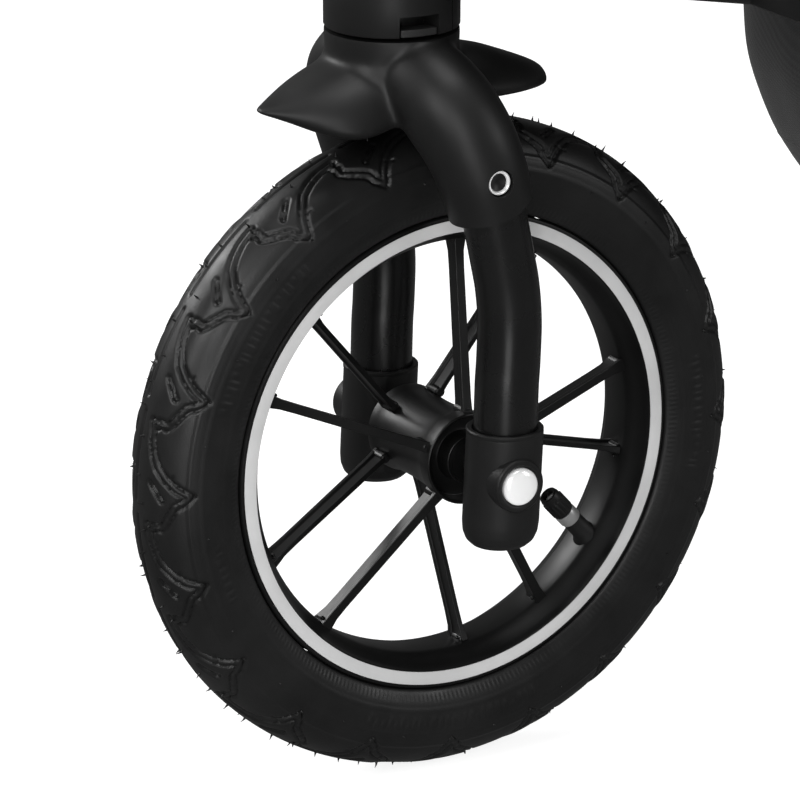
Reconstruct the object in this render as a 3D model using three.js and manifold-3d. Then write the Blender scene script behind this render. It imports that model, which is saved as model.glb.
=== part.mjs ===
// A three-wheeled all-terrain baby stroller, as an assembly of separate solids.
// Millimetres. +X points forward, +Y to the stroller's left, +Z up. The floor is z = 0.
import * as THREE from "three";
import { mergeVertices } from "three/addons/utils/BufferGeometryUtils.js";
import Module from "manifold-3d";

const wasm = await Module();
wasm.setup();

// ---- driving dimensions -------------------------------------------------------------------
const GAP = 0.3; // between faces that touch
const TYRE_RADIUS = 152;
const TYRE_HALF_WIDTH = 23;
const BEAD_RADIUS = 112;
const FRONT_HUB = [398, 0, TYRE_RADIUS];
const TRAIL = 22.9; // the swivel axis lies this far ahead of the front hub
const FORK_LEG_Y = 54.5;
const FORK_TUBE_RADIUS = 14.3;
const HEAD_RADIUS = 30;
const SEAM_Z = 202; // above the front hub, where the crown meets the head housing
const HEAD_TOP_Z = 292;
const AXLE_RADIUS = 6;

const TUBE_RADIUS = 14; // frame tubes
const SIDE_Y = 222; // the plane of the frame's side tubes
const HINGE = [-130, 530]; // x and z of the fold axis
const HINGE_RADIUS = 34;
const PLATE_THICKNESS = 9;
const TUBE_START = 56; // folding tubes start this far from the fold axis
const HANDLE_ANGLE = 122.6; // degrees from +X, seen from the stroller's right
const HANDLE_STRAIGHT = 520;
const GRIP = [-532, 1034]; // x and z of the grip bar
const GRIP_HALF_LENGTH = 150;
const GRIP_RADIUS = 18;
const REAR_AXLE = [-340, TYRE_RADIUS];
const REAR_WHEEL_Y = 274;

const BACKREST_ANGLE = 108;
const BACKREST_LENGTH = 425;
const BACKREST_HALF_WIDTH = 150;
const BACKREST_TUBE_Y = 155;
const SEAT_HALF_WIDTH = 152;
const SEAT_FRONT_X = 150;
const SEAT_TUBE_Z = 482;
const SEAT_TUBE_Y = 180;

const CANOPY_PIVOT_R = 330; // along the handle, from the fold axis
const BOW_RADIUS = 4;
// angle from +X, height above the pivot, half width
const BOWS = {
  rear: [112, 225, 198],
  middle: [76, 236, 189],
  front: [40, 262, 180],
};
const BOW_EXPONENT = 3.5;

const FOOTREST = { back: 255, front: 372, halfWidth: 100, backZ: 358, slope: 10.5, thickness: 10 };
const BASKET = { back: -265, front: 195, top: 322, bottom: 212, halfWidth: 186, nose: 62, wall: 4 };

// ---- solids -------------------------------------------------------------------------------
const radians = THREE.MathUtils.degToRad;

// A geometry as a manifold-3d solid with its faces pointing out.
function solidOf(geometry) {
  const bare = geometry.clone();
  bare.deleteAttribute("normal");
  bare.deleteAttribute("uv");
  const merged = mergeVertices(bare, 1e-3);
  const make = (triVerts) =>
    new wasm.Manifold(
      new wasm.Mesh({
        numProp: 3,
        vertProperties: merged.getAttribute("position").array,
        triVerts,
      }),
    );
  const triVerts = new Uint32Array(merged.index.array);
  const solid = make(triVerts);
  return solid.volume() > 0 ? solid : make(triVerts.reverse());
}

function geometryOf(solid) {
  const mesh = solid.getMesh();
  const geometry = new THREE.BufferGeometry();
  geometry.setAttribute("position", new THREE.BufferAttribute(mesh.vertProperties, 3));
  geometry.setIndex(new THREE.BufferAttribute(mesh.triVerts, 1));
  return geometry;
}

const join = (...shapes) => geometryOf(shapes.map(solidOf).reduce((a, b) => a.add(b)));
const cut = (shape, ...tools) =>
  geometryOf(tools.map(solidOf).reduce((a, b) => a.subtract(b), solidOf(shape)));
const common = (a, b) => geometryOf(solidOf(a).intersect(solidOf(b)));
const mirrored = (shape) => shape.clone().scale(1, -1, 1);

function box([x0, y0, z0], [x1, y1, z1]) {
  return new THREE.BoxGeometry(x1 - x0, y1 - y0, z1 - z0)
    .translate((x0 + x1) / 2, (y0 + y1) / 2, (z0 + z1) / 2);
}

// A round rod along Y, centred on x and z.
function rodY([x, z], radius, y0, y1, sides = 16) {
  return new THREE.CylinderGeometry(radius, radius, y1 - y0, sides).translate(x, (y0 + y1) / 2, z);
}

// A round rod along Z, centred on x and y.
function rodZ([x, y], radius, z0, z1, sides = 16) {
  return new THREE.CylinderGeometry(radius, radius, z1 - z0, sides)
    .rotateX(Math.PI / 2)
    .translate(x, y, (z0 + z1) / 2);
}

// An outline in the XZ plane, extruded from y0 to y1.
function slabY(outline, y0, y1) {
  const shape = new THREE.Shape(outline.map(([x, z]) => new THREE.Vector2(x, z)));
  return new THREE.ExtrudeGeometry(shape, { depth: y1 - y0, bevelEnabled: false })
    .rotateX(Math.PI / 2)
    .translate(0, y1, 0);
}

// An outline in the XY plane, extruded from z0 to z1.
function slabZ(outline, z0, z1) {
  const shape = new THREE.Shape(outline.map(([x, y]) => new THREE.Vector2(x, y)));
  return new THREE.ExtrudeGeometry(shape, { depth: z1 - z0, bevelEnabled: false }).translate(0, 0, z0);
}

// A profile of [radius, height] points, turned about Y.
function turned(profile, sides = 20) {
  return new THREE.LatheGeometry(profile.map(([r, y]) => new THREE.Vector2(r, y)), sides);
}

function ring(radius, sides) {
  const points = [];
  for (let i = 0; i < sides; i++) {
    const a = (2 * Math.PI * (i + 0.5)) / sides;
    points.push(new THREE.Vector2(radius * Math.cos(a), radius * Math.sin(a)));
  }
  return points;
}

// A smooth solid tube through the points.
function tube(points, radius, steps = 12, sides = 10) {
  const path = new THREE.CatmullRomCurve3(points.map((p) => new THREE.Vector3(...p)), false, "centripetal");
  return new THREE.ExtrudeGeometry(new THREE.Shape(ring(radius, sides)), { extrudePath: path, steps });
}

// A solid tube made of straight runs with rounded corners.
function bentTube(points, radius, bend, steps = 40, sides = 10) {
  const corners = points.map((p) => new THREE.Vector3(...p));
  const path = new THREE.CurvePath();
  let from = corners[0];
  for (let i = 1; i < corners.length - 1; i++) {
    const here = corners[i];
    const before = here.clone().add(corners[i - 1].clone().sub(here).setLength(bend));
    const after = here.clone().add(corners[i + 1].clone().sub(here).setLength(bend));
    path.add(new THREE.LineCurve3(from, before));
    path.add(new THREE.QuadraticBezierCurve3(before, here, after));
    from = after;
  }
  path.add(new THREE.LineCurve3(from, corners[corners.length - 1]));
  return new THREE.ExtrudeGeometry(new THREE.Shape(ring(radius, sides)), { extrudePath: path, steps });
}

// A point at a distance and an angle from an [x, z] centre, as [x, z].
function polar([x, z], r, degrees) {
  return [x + r * Math.cos(radians(degrees)), z + r * Math.sin(radians(degrees))];
}

// A flat link in the XZ plane: a disc at one point, narrowing to another.
function link(a, b, halfA, halfB, y0, y1) {
  const along = Math.atan2(b[1] - a[1], b[0] - a[0]) * THREE.MathUtils.RAD2DEG;
  const outline = [
    polar(a, halfA, along - 90),
    polar(b, halfB, along - 90),
    polar(b, halfB, along + 90),
    polar(a, halfA, along + 90),
  ];
  return slabY(outline, y0, y1);
}

function roundedRectangle(halfX, halfY, corner, segments = 3) {
  const points = [];
  for (const [sx, sy, start] of [[1, 1, 0], [-1, 1, 90], [-1, -1, 180], [1, -1, 270]]) {
    for (let i = 0; i <= segments; i++) {
      const centre = [sx * (halfX - corner), sy * (halfY - corner)];
      points.push(polar(centre, corner, start + (90 * i) / segments));
    }
  }
  return points;
}

// A cushion: a rounded slab, along x from 0 to length and z from 0 to thickness, with chamfered rims.
function cushion(length, halfWidth, thickness, corner) {
  const rim = 5;
  const layer = (inset, z0, z1) =>
    slabZ(roundedRectangle(length / 2 - inset, halfWidth - inset, corner - inset), z0, z1);
  return join(layer(rim, 0, thickness), layer(0, rim, thickness - rim)).translate(length / 2, 0, 0);
}

// ---- the assembly -------------------------------------------------------------------------
const BLACK = 0x17181a;
const finishes = {
  rubber: { color: 0x1b1c1d, roughness: 0.8, metalness: 0 },
  wheel_plastic: { color: 0x121314, roughness: 0.38, metalness: 0 },
  reflective: { color: 0xc6c8c9, roughness: 0.45, metalness: 0.2 },
  moulded: { color: BLACK, roughness: 0.55, metalness: 0 },
  frame_paint: { color: 0x141516, roughness: 0.42, metalness: 0.4 },
  chrome: { color: 0xd8dadc, roughness: 0.18, metalness: 1 },
  seat_fabric: { color: 0x3a3d41, roughness: 0.95, metalness: 0 },
  shell_fabric: { color: 0x202225, roughness: 0.95, metalness: 0 },
  grip_foam: { color: 0x1d1d1e, roughness: 0.9, metalness: 0 },
  pedal: { color: 0x2b2d31, roughness: 0.5, metalness: 0 },
};

const stroller = new THREE.Group();

function add(name, geometry, finish) {
  const material = new THREE.MeshStandardMaterial(finishes[finish]);
  const mesh = new THREE.Mesh(geometryOf(solidOf(geometry)), material);
  mesh.name = name;
  stroller.add(mesh);
}

// The same geometry on the left (+Y), and mirrored on the right.
function addPair(name, geometry, finish) {
  add(`${name}_left`, geometry, finish);
  add(`${name}_right`, mirrored(geometry), finish);
}

// ---- wheels: each is made about its hub, with its axle along Y and its outer side at +Y -----
// Rim and tyre have flat facets, and the tyre stands on one of them.
const WHEEL_SIDES = 24;
const turnedRing = (profile) => turned(profile, WHEEL_SIDES).rotateY(Math.PI / WHEEL_SIDES);

function tyre() {
  const profile = [];
  const middle = 129;
  const turns = 9;
  const crownRadius = TYRE_RADIUS / Math.cos(Math.PI / WHEEL_SIDES);
  const flatEdge = Math.cos(Math.PI / turns / 2);
  for (let i = 0; i <= turns; i++) {
    const a = Math.PI * (i / turns - 0.5);
    const s = Math.sin(a);
    profile.push([
      middle + (crownRadius - middle) * (Math.max(0, Math.cos(a)) / flatEdge) ** 0.91,
      TYRE_HALF_WIDTH * Math.sign(s) * Math.abs(s) ** 0.91,
    ]);
  }
  profile.push([BEAD_RADIUS, 15], [BEAD_RADIUS, -15], profile[0]);
  return turnedRing(profile);
}

function wheel() {
  const rimFace = 18.6;
  const half = [[103, rimFace], [97, 6]];
  const back = [[102, 9], [111.6, 15], [111.6, rimFace]];
  const flip = (points) => points.map(([r, y]) => [r, -y]).reverse();
  const rim = turnedRing([...half, ...flip(half), ...flip(back), ...back, half[0]]);
  const hub = turned(
    [[6.3, -27], [19, -27], [16.6, -6], [16.6, 8], [20.4, 18],
      [20.4, 28.8], [14, 28.8], [14, 25], [6.3, 25], [6.3, -27]],
    14,
  );
  const spokes = [];
  for (let pair = 0; pair < 5; pair++) {
    for (const [side, hubY] of [[-1, 22], [1, -17]]) {
      const angle = 35.5 + 72 * pair + side * 12.5;
      const from = new THREE.Vector3(17, hubY, 0);
      const to = new THREE.Vector3(99, side * -1, 0);
      const run = to.clone().sub(from);
      spokes.push(
        new THREE.BoxGeometry(run.length(), 8.5, 4.2)
          .rotateZ(Math.atan2(run.y, run.x))
          .translate((from.x + to.x) / 2, (from.y + to.y) / 2, 0)
          .rotateY(-radians(angle)),
      );
    }
  }
  return join(rim, hub, ...spokes);
}

const rimStripe = () =>
  turnedRing([[103.4, 18.9], [109.6, 18.9], [109.6, 19.4], [103.4, 19.4], [103.4, 18.9]]);

// Radially inwards from the rim, at the valve's place.
function valvePiece(profile) {
  const valveAngle = 215;
  return turned(profile, 10).rotateZ(-Math.PI / 2).rotateY(-radians(valveAngle));
}
const valveStem = () => valvePiece([[0, 80], [2.6, 80], [2.6, 91], [4.8, 91], [5.4, 95.5], [0, 95.5]]);
const valveCap = () => valvePiece([[0, 70], [3.4, 70], [4.3, 71], [4.3, 79.6], [0, 79.6]]);

const atFrontHub = (shape) => shape.translate(...FRONT_HUB);

add("front_tyre", atFrontHub(tyre()), "rubber");
add("front_wheel", atFrontHub(wheel()), "wheel_plastic");
add("front_rim_stripe_left", atFrontHub(rimStripe()), "reflective");
add("front_rim_stripe_right", atFrontHub(mirrored(rimStripe())), "reflective");
add("front_valve_stem", atFrontHub(valveStem()), "chrome");
add("front_valve_cap", atFrontHub(valveCap()), "moulded");

const atRearLeft = (shape) => shape.translate(REAR_AXLE[0], REAR_WHEEL_Y, REAR_AXLE[1]);
addPair("rear_tyre", atRearLeft(tyre()), "rubber");
addPair("rear_wheel", atRearLeft(wheel()), "wheel_plastic");
addPair("rear_rim_stripe", atRearLeft(rimStripe()), "reflective");
addPair(
  "rear_hub_cap",
  atRearLeft(turned([[0, 29.1], [19.5, 29.1], [19.5, 31], [12, 36.4], [0, 37.5]], 20)),
  "moulded",
);

// ---- fork: made about the front hub ---------------------------------------------------------
// The left leg's centreline, from inside the dropout to inside the crown's sleeve.
const LEG_LINE = [
  [-3.2, 12], [-4.7, 53.2], [-5.2, 71.6], [-3.8, 87.5], [-1.4, 99.7], [1.1, 111.5], [3.2, 121], [5.4, 131],
];
const legLine = LEG_LINE.map(([x, z]) => [x, FORK_LEG_Y, z]);

addPair("fork_leg", tube(legLine, FORK_TUBE_RADIUS, 7, 10).translate(...FRONT_HUB), "frame_paint");

function dropout() {
  const socket = 17.25;
  const body = rodZ([-2, FORK_LEG_Y], socket, -33.5, 22, 20);
  const outline = roundedRectangle(17.2, 27, 12).map(([x, z]) => [x - 2, z - 6]);
  const lower = slabY(outline, FORK_LEG_Y - 18, FORK_LEG_Y + 16);
  const shaped = common(body, lower);
  const boss = rodY([0, 0], 13.4, FORK_LEG_Y + 5, FORK_LEG_Y + 17.6, 20);
  const bore = tube([[-3.2, FORK_LEG_Y, 11.7], ...legLine.slice(1)], FORK_TUBE_RADIUS + 2 * GAP, 7, 10);
  return cut(join(shaped, boss), bore, rodY([0, 0], AXLE_RADIUS + GAP, 0, 90, 16));
}
addPair("dropout", dropout().translate(...FRONT_HUB), "moulded");

add(
  "front_axle",
  atFrontHub(
    join(
      rodY([0, 0], AXLE_RADIUS, -71.6, 71.6, 16),
      rodY([0, 0], 11, 29.2, 35.2, 14),
      rodY([0, 0], 11, -35.2, -27.4, 14),
    ),
  ),
  "frame_paint",
);
addPair(
  "axle_cap",
  turned([[0, 72.5], [9.3, 72.5], [9.3, 74], [7.2, 75.6], [0, 76.2]], 24).translate(...FRONT_HUB),
  "chrome",
);

const SCREW = [8, 143]; // x and z, beside each sleeve
function crown() {
  const armRadius = 18.4;
  const arm = tube(
    [[3, 54.5, 121], [5.6, 54.6, 133], [9, 54, 146], [13.5, 50, 161],
      [18, 40, 174], [21, 24, 184], [22.9, 0, 190]],
    armRadius,
    7,
    10,
  );
  const head = rodZ([TRAIL, 0], HEAD_RADIUS - 0.4, 176, SEAM_Z, 24);
  const side = [
    [-58, 160], [-52, 168], [-36, 178], [-12, 187], [22, 193], [52, 191], [70, 183], [82, 175],
    [89, 168], [76, 163], [60, 159.5], [30, 157], [-30, 157], [-52, 158],
  ];
  const above = [[89, 0], [80, 16], [62, 27], [30, 31], [-20, 29], [-46, 22], [-56, 10]];
  const plan = [...above, [-58, 0], ...above.slice(1).reverse().map(([x, y]) => [x, -y])];
  const wings = common(slabY(side, -40, 40), slabZ(plan, 150, 200));
  const body = join(arm, mirrored(arm), head, wings);
  const bore = tube(legLine.slice(3).concat([[7.4, FORK_LEG_Y, 140]]), FORK_TUBE_RADIUS + 2 * GAP, 5, 10);
  const legTop = rodZ([5.2, FORK_LEG_Y], 30, 90, 121.4);
  const screwHole = rodY(SCREW, 5.8, 68, 80, 12);
  const aboveSeam = box([-50, -60, SEAM_Z], [100, 60, SEAM_Z + 30]);
  const pairs = [bore, legTop, screwHole];
  return cut(body, ...pairs, ...pairs.map(mirrored), aboveSeam);
}
add("fork_crown", atFrontHub(crown()), "moulded");
addPair(
  "fork_screw",
  cut(rodY(SCREW, 5.4, 68.3, 73.5, 12), rodY(SCREW, 2.6, 71, 80, 6)).translate(...FRONT_HUB),
  "chrome",
);
add("swivel_spindle", atFrontHub(rodZ([TRAIL, 0], 11, SEAM_Z + GAP, 276, 16)), "chrome");

// ---- head housing and the swivel lock ---------------------------------------------------------
const LOCK = { halfX: 10, low: 206, high: 217, tabHeight: 5 };
function headHousing() {
  const body = rodZ([TRAIL, 0], HEAD_RADIUS, SEAM_Z + 0.6, HEAD_TOP_Z, 24);
  const cap = rodZ([TRAIL, 0], HEAD_RADIUS - 6, HEAD_TOP_Z - 1, HEAD_TOP_Z + 6, 24);
  const bore = rodZ([TRAIL, 0], 11 + GAP, SEAM_Z, 277, 16);
  const window = box([TRAIL - LOCK.halfX, 22, LOCK.low], [TRAIL + LOCK.halfX, 40, LOCK.high]);
  return cut(join(body, cap), bore, window);
}
add("head_housing", atFrontHub(headHousing()), "moulded");
add(
  "swivel_lock",
  atFrontHub(
    box(
      [TRAIL - LOCK.halfX + GAP, 22 + GAP, LOCK.low + GAP],
      [TRAIL + LOCK.halfX - GAP, 30.5, LOCK.low + LOCK.tabHeight],
    ),
  ),
  "moulded",
);

// ---- front frame ----------------------------------------------------------------------------
const headAxisX = FRONT_HUB[0] + TRAIL;
const frontTubeLine = [
  [headAxisX - 6, 10, 426], [372, 62, 421], [330, 112, 418], [246, 172, 426], [130, 207, 452],
  [0, SIDE_Y, 492], [-100, SIDE_Y, 521], [HINGE[0], SIDE_Y, HINGE[1]],
];
function frontTube() {
  const headCut = rodZ([headAxisX, 0], HEAD_RADIUS + GAP, 340, 470, 24);
  const hingeCut = rodY(HINGE, HINGE_RADIUS + GAP, 200, 240, 24);
  const half = box([-200, GAP, 300], [500, 300, 700]);
  return common(cut(tube(frontTubeLine, TUBE_RADIUS, 12, 8), headCut, hingeCut), half);
}
addPair("front_tube", frontTube(), "frame_paint");

const PLATE_OUT = [SIDE_Y + TUBE_RADIUS + 0.5, SIDE_Y + TUBE_RADIUS + 0.5 + PLATE_THICKNESS];
const PLATE_IN = [SIDE_Y - TUBE_RADIUS - 0.5 - PLATE_THICKNESS, SIDE_Y - TUBE_RADIUS - 0.5];
const boltHole = () => rodY(HINGE, AXLE_RADIUS + GAP, 100, 300, 16);
addPair(
  "hinge",
  cut(rodY(HINGE, HINGE_RADIUS, SIDE_Y - TUBE_RADIUS, SIDE_Y + TUBE_RADIUS, 24), boltHole()),
  "moulded",
);
addPair(
  "hinge_bolt",
  join(
    rodY(HINGE, AXLE_RADIUS, 168, PLATE_OUT[1] + 2, 16),
    rodY(HINGE, 12, PLATE_OUT[1] + GAP, PLATE_OUT[1] + 4, 24),
  ),
  "chrome",
);

function seatFrame() {
  const rearX = HINGE[0] + 45;
  const loop = bentTube(
    [[rearX, SEAT_TUBE_Y, SEAT_TUBE_Z + 6], [SEAT_FRONT_X, SEAT_TUBE_Y, SEAT_TUBE_Z],
      [SEAT_FRONT_X, -SEAT_TUBE_Y, SEAT_TUBE_Z], [rearX, -SEAT_TUBE_Y, SEAT_TUBE_Z + 6]],
    9,
    40,
    18,
    6,
  );
  const rearBar = rodY([rearX + 8, SEAT_TUBE_Z + 1], 8, -SEAT_TUBE_Y, SEAT_TUBE_Y, 10);
  const board = slabZ(roundedRectangle(108, SEAT_TUBE_Y - 4, 12), SEAT_TUBE_Z - 4, SEAT_TUBE_Z + 9)
    .translate(SEAT_FRONT_X - 112, 0, 0);
  const bracket = box([20, SEAT_TUBE_Y, SEAT_TUBE_Z - 7], [44, SIDE_Y + 4, SEAT_TUBE_Z + 4]);
  const clear = tube(frontTubeLine, TUBE_RADIUS + 2 * GAP, 12, 8);
  return cut(join(loop, rearBar, board, bracket, mirrored(bracket)), clear, mirrored(clear));
}
add("seat_frame", seatFrame(), "frame_paint");

const seatPadLength = 232;
add(
  "seat_pad",
  cushion(seatPadLength, SEAT_HALF_WIDTH, 40, 26)
    .translate(SEAT_FRONT_X + 8 - seatPadLength, 0, SEAT_TUBE_Z + 9 + GAP),
  "seat_fabric",
);
add(
  "buckle",
  slabZ(roundedRectangle(17, 21, 8), 0, 14).rotateY(radians(-12)).translate(48, 0, SEAT_TUBE_Z + 54),
  "moulded",
);

function footrest() {
  const { back, front, halfWidth, backZ, slope, thickness } = FOOTREST;
  const length = (front - back) / Math.cos(radians(slope));
  const plate = slabZ(roundedRectangle(length / 2, halfWidth, 34), 0, thickness)
    .translate(length / 2, 0, 0)
    .rotateY(radians(-slope))
    .translate(back, 0, backZ);
  const arm = box([276, halfWidth - 18, backZ + 6], [300, 150, backZ + 18]);
  const post = box([276, 128, backZ + 6], [300, 152, 425]);
  const clear = tube(frontTubeLine, TUBE_RADIUS + 2 * GAP, 12, 8);
  const swing = rodZ([headAxisX, 0], HEAD_RADIUS + 10, 300, 460, 24);
  return cut(join(plate, arm, post, mirrored(arm), mirrored(post)), clear, mirrored(clear), swing);
}
add("footrest", footrest(), "moulded");

// The basket is an open box with a narrow nose: its outline in plan, shrunk towards the floor.
function basket() {
  const { back, front, top, bottom, halfWidth, nose, wall } = BASKET;
  const outline = (inset) => [
    [front - inset, nose - inset],
    [front - 22 - inset, nose + 22 - inset],
    [60, halfWidth - 12 - inset],
    [-20, halfWidth - inset],
    [back + 24 + inset, halfWidth - inset],
    [back + inset, halfWidth - 24 - inset],
  ];
  const whole = (inset) => [...outline(inset), ...outline(inset).reverse().map(([x, y]) => [x, -y])];
  const tapered = (inset, z0) => {
    const shape = slabZ(whole(inset), z0, top);
    const spots = shape.getAttribute("position");
    for (let i = 0; i < spots.count; i++) {
      const low = spots.getZ(i) < (z0 + top) / 2;
      if (low) spots.setX(i, (spots.getX(i) + 35) * 0.86 - 35 - 8);
      if (low) spots.setY(i, spots.getY(i) * 0.84);
    }
    return shape;
  };
  return cut(tapered(0, bottom), tapered(wall, bottom + wall).scale(1, 1, 1.0001).translate(0, 0, 0.2));
}
add("basket", basket(), "shell_fabric");

// ---- handle, with the canopy ------------------------------------------------------------------
const handlePoint = (r) => polar(HINGE, r, HANDLE_ANGLE);
const handle3 = (r, y) => [handlePoint(r)[0], y, handlePoint(r)[1]];
function handleTube() {
  const corner = handle3(HANDLE_STRAIGHT + 40, SIDE_Y);
  const bar = bentTube(
    [handle3(TUBE_START, SIDE_Y), corner, [GRIP[0], SIDE_Y - 26, GRIP[1]], [GRIP[0], -SIDE_Y + 26, GRIP[1]],
      [corner[0], -SIDE_Y, corner[2]], handle3(TUBE_START, -SIDE_Y)],
    TUBE_RADIUS,
    44,
    32,
    8,
  );
  const plate = join(
    rodY(HINGE, HINGE_RADIUS - 2, ...PLATE_OUT, 24),
    link(HINGE, handlePoint(100), 26, 13, ...PLATE_OUT),
    link(handlePoint(TUBE_START + 4), handlePoint(98), 11, 11, SIDE_Y + 4, PLATE_OUT[0] + 1),
  );
  const bolt = boltHole();
  return cut(join(bar, plate, mirrored(plate)), bolt, mirrored(bolt));
}
add("handle_tube", handleTube(), "frame_paint");
function handleGrip() {
  const bore = TUBE_RADIUS + 0.8;
  const end = GRIP_HALF_LENGTH;
  const rim = GRIP_RADIUS - 2;
  const profile = [
    [bore, -end], [rim, -end], [GRIP_RADIUS, 3 - end], [GRIP_RADIUS, end - 3],
    [rim, end], [bore, end], [bore, -end],
  ];
  return turned(profile, 16).translate(GRIP[0], 0, GRIP[1]);
}
add("handle_grip", handleGrip(), "grip_foam");

const latchStart = 112;
addPair(
  "fold_latch",
  link(handlePoint(latchStart), handlePoint(latchStart + 40), 12, 9, PLATE_IN[0] + 1, PLATE_IN[1]),
  "pedal",
);

const PIVOT = handlePoint(CANOPY_PIVOT_R);
const tubeInside = SIDE_Y - TUBE_RADIUS;
addPair("canopy_pivot", rodY(PIVOT, 17, tubeInside - 6, tubeInside - GAP, 24), "moulded");

// A point on a hoop: its share t of the half turn, in the plane through the pivots at an angle.
function hoopPoint(t, angle, height, halfWidth) {
  const c = Math.cos(Math.PI * t);
  const s = Math.sin(Math.PI * t);
  const power = 2 / BOW_EXPONENT;
  const y = halfWidth * Math.sign(c) * Math.abs(c) ** power;
  const [x, z] = polar(PIVOT, height * s ** power, angle);
  return [x, y, z];
}

for (const [name, [angle, height, halfWidth]] of Object.entries(BOWS)) {
  const points = [];
  const count = 24;
  for (let i = 0; i <= count; i++) {
    points.push(hoopPoint(i / count, angle, height, halfWidth));
  }
  add(`canopy_bow_${name}`, tube(points, BOW_RADIUS, 16, 5), "frame_paint");
}

// The canopy's fabric: a thin curved shell over the bows, closed at its edges.
function canopy() {
  const angles = [37, 50, 63, 76, 89, 102, 115];
  const across = 12;
  const margin = 0.035;
  const [frontBow, middleBow, rearBow] = [BOWS.front, BOWS.middle, BOWS.rear];
  const height = (angle) => {
    const [a, b] = angle < middleBow[0] ? [frontBow, middleBow] : [middleBow, rearBow];
    return BOW_RADIUS + 4 + THREE.MathUtils.mapLinear(angle, a[0], b[0], a[1], b[1]);
  };
  const positions = [];
  const at = (i, j, k) => (i * (across + 1) + j) * 2 + k;
  for (const angle of angles) {
    for (let j = 0; j <= across; j++) {
      const t = margin + (1 - 2 * margin) * (j / across);
      for (const skin of [0, 3.2]) {
        positions.push(...hoopPoint(t, angle, height(angle) + skin, 203 + skin));
      }
    }
  }
  const faces = [];
  const quad = (a, b, c, d) => faces.push(a, b, c, a, c, d);
  const last = angles.length - 1;
  for (let i = 0; i < last; i++) {
    for (let j = 0; j < across; j++) {
      quad(at(i, j, 1), at(i + 1, j, 1), at(i + 1, j + 1, 1), at(i, j + 1, 1));
      quad(at(i, j, 0), at(i, j + 1, 0), at(i + 1, j + 1, 0), at(i + 1, j, 0));
    }
    quad(at(i, 0, 0), at(i + 1, 0, 0), at(i + 1, 0, 1), at(i, 0, 1));
    quad(at(i, across, 0), at(i, across, 1), at(i + 1, across, 1), at(i + 1, across, 0));
  }
  for (let j = 0; j < across; j++) {
    quad(at(0, j, 0), at(0, j, 1), at(0, j + 1, 1), at(0, j + 1, 0));
    quad(at(last, j, 0), at(last, j + 1, 0), at(last, j + 1, 1), at(last, j, 1));
  }
  const shell = new THREE.BufferGeometry();
  shell.setAttribute("position", new THREE.Float32BufferAttribute(positions, 3));
  shell.setIndex(faces);
  return shell;
}
add("canopy", canopy(), "shell_fabric");

// ---- backrest ---------------------------------------------------------------------------------
// Made lying along +X from the fold axis with its front face up, then turned to its angle.
function leanBack(shape) {
  return shape.rotateY(-radians(BACKREST_ANGLE)).translate(HINGE[0], 0, HINGE[1]);
}
function backrestFrame() {
  const y = BACKREST_TUBE_Y;
  const loop = bentTube(
    [[0, y + 16, 0], [40, y, 0], [BACKREST_LENGTH, y, 0],
      [BACKREST_LENGTH, -y, 0], [40, -y, 0], [0, -y - 16, 0]],
    8,
    20,
    22,
    6,
  );
  const ear = rodY([0, 0], 13, 166, 184, 14);
  const hole = rodY([0, 0], AXLE_RADIUS + GAP, 100, 240, 16);
  const shaped = join(loop, ear, mirrored(ear));
  return leanBack(cut(shaped, hole, mirrored(hole)));
}
add("backrest_frame", backrestFrame(), "frame_paint");
function backrestPad() {
  const pad = cushion(BACKREST_LENGTH - 34, BACKREST_HALF_WIDTH - 4, 34, 40);
  return leanBack(pad.scale(1, 1, -1).translate(24, 0, -9));
}
add("backrest_pad", backrestPad(), "seat_fabric");

// ---- leg rest -----------------------------------------------------------------------------------
const legRestAngle = -60;
add(
  "leg_rest",
  cushion(104, 126, 20, 18)
    .translate(12, 0, -8)
    .rotateY(-radians(legRestAngle))
    .translate(SEAT_FRONT_X, 0, SEAT_TUBE_Z),
  "seat_fabric",
);

// ---- rear frame, brake and rear wheels -------------------------------------------------------------
const legAngle = Math.atan2(REAR_AXLE[1] - HINGE[1], REAR_AXLE[0] - HINGE[0]) * THREE.MathUtils.RAD2DEG;
const legLength = Math.hypot(REAR_AXLE[1] - HINGE[1], REAR_AXLE[0] - HINGE[0]);
const legPoint = (r) => polar(HINGE, r, legAngle);
const BRACKET_RADIUS = 24;
function rearLeg() {
  const ends = [TUBE_START, legLength - 10].map((r) => [legPoint(r)[0], SIDE_Y, legPoint(r)[1]]);
  const bar = tube(ends, TUBE_RADIUS, 1, 12);
  const plate = join(
    rodY(HINGE, HINGE_RADIUS - 6, ...PLATE_IN, 24),
    link(HINGE, legPoint(100), 22, 12, ...PLATE_IN),
    link(legPoint(TUBE_START + 4), legPoint(98), 10, 10, PLATE_IN[1] - 1, SIDE_Y - 4),
  );
  return cut(join(bar, plate), boltHole(), rodY(REAR_AXLE, BRACKET_RADIUS + GAP, 190, 250, 24));
}
addPair("rear_leg", rearLeg(), "frame_paint");

function axleBeam() {
  const beam = rodY(REAR_AXLE, 13, -SIDE_Y + 5, SIDE_Y - 5, 14);
  const end = join(
    rodY(REAR_AXLE, BRACKET_RADIUS, SIDE_Y - 17, SIDE_Y + 17, 18),
    rodY(REAR_AXLE, 10, SIDE_Y + 10, REAR_WHEEL_Y - 27.4, 14),
    rodY(REAR_AXLE, AXLE_RADIUS, SIDE_Y + 10, REAR_WHEEL_Y + 28.8, 16),
  );
  return join(beam, end, mirrored(end));
}
add("rear_axle_beam", axleBeam(), "frame_paint");

function brakePedal() {
  const halfWidth = 42;
  const lever = link(polar(REAR_AXLE, 16, 168), polar(REAR_AXLE, 74, 168), 6, 4.5, -halfWidth, halfWidth);
  const collar = rodY(REAR_AXLE, 19, -halfWidth + 8, halfWidth - 8, 24);
  return cut(join(lever, collar), rodY(REAR_AXLE, 13 + GAP, -100, 100, 18));
}
add("brake_pedal", brakePedal(), "pedal");

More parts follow.
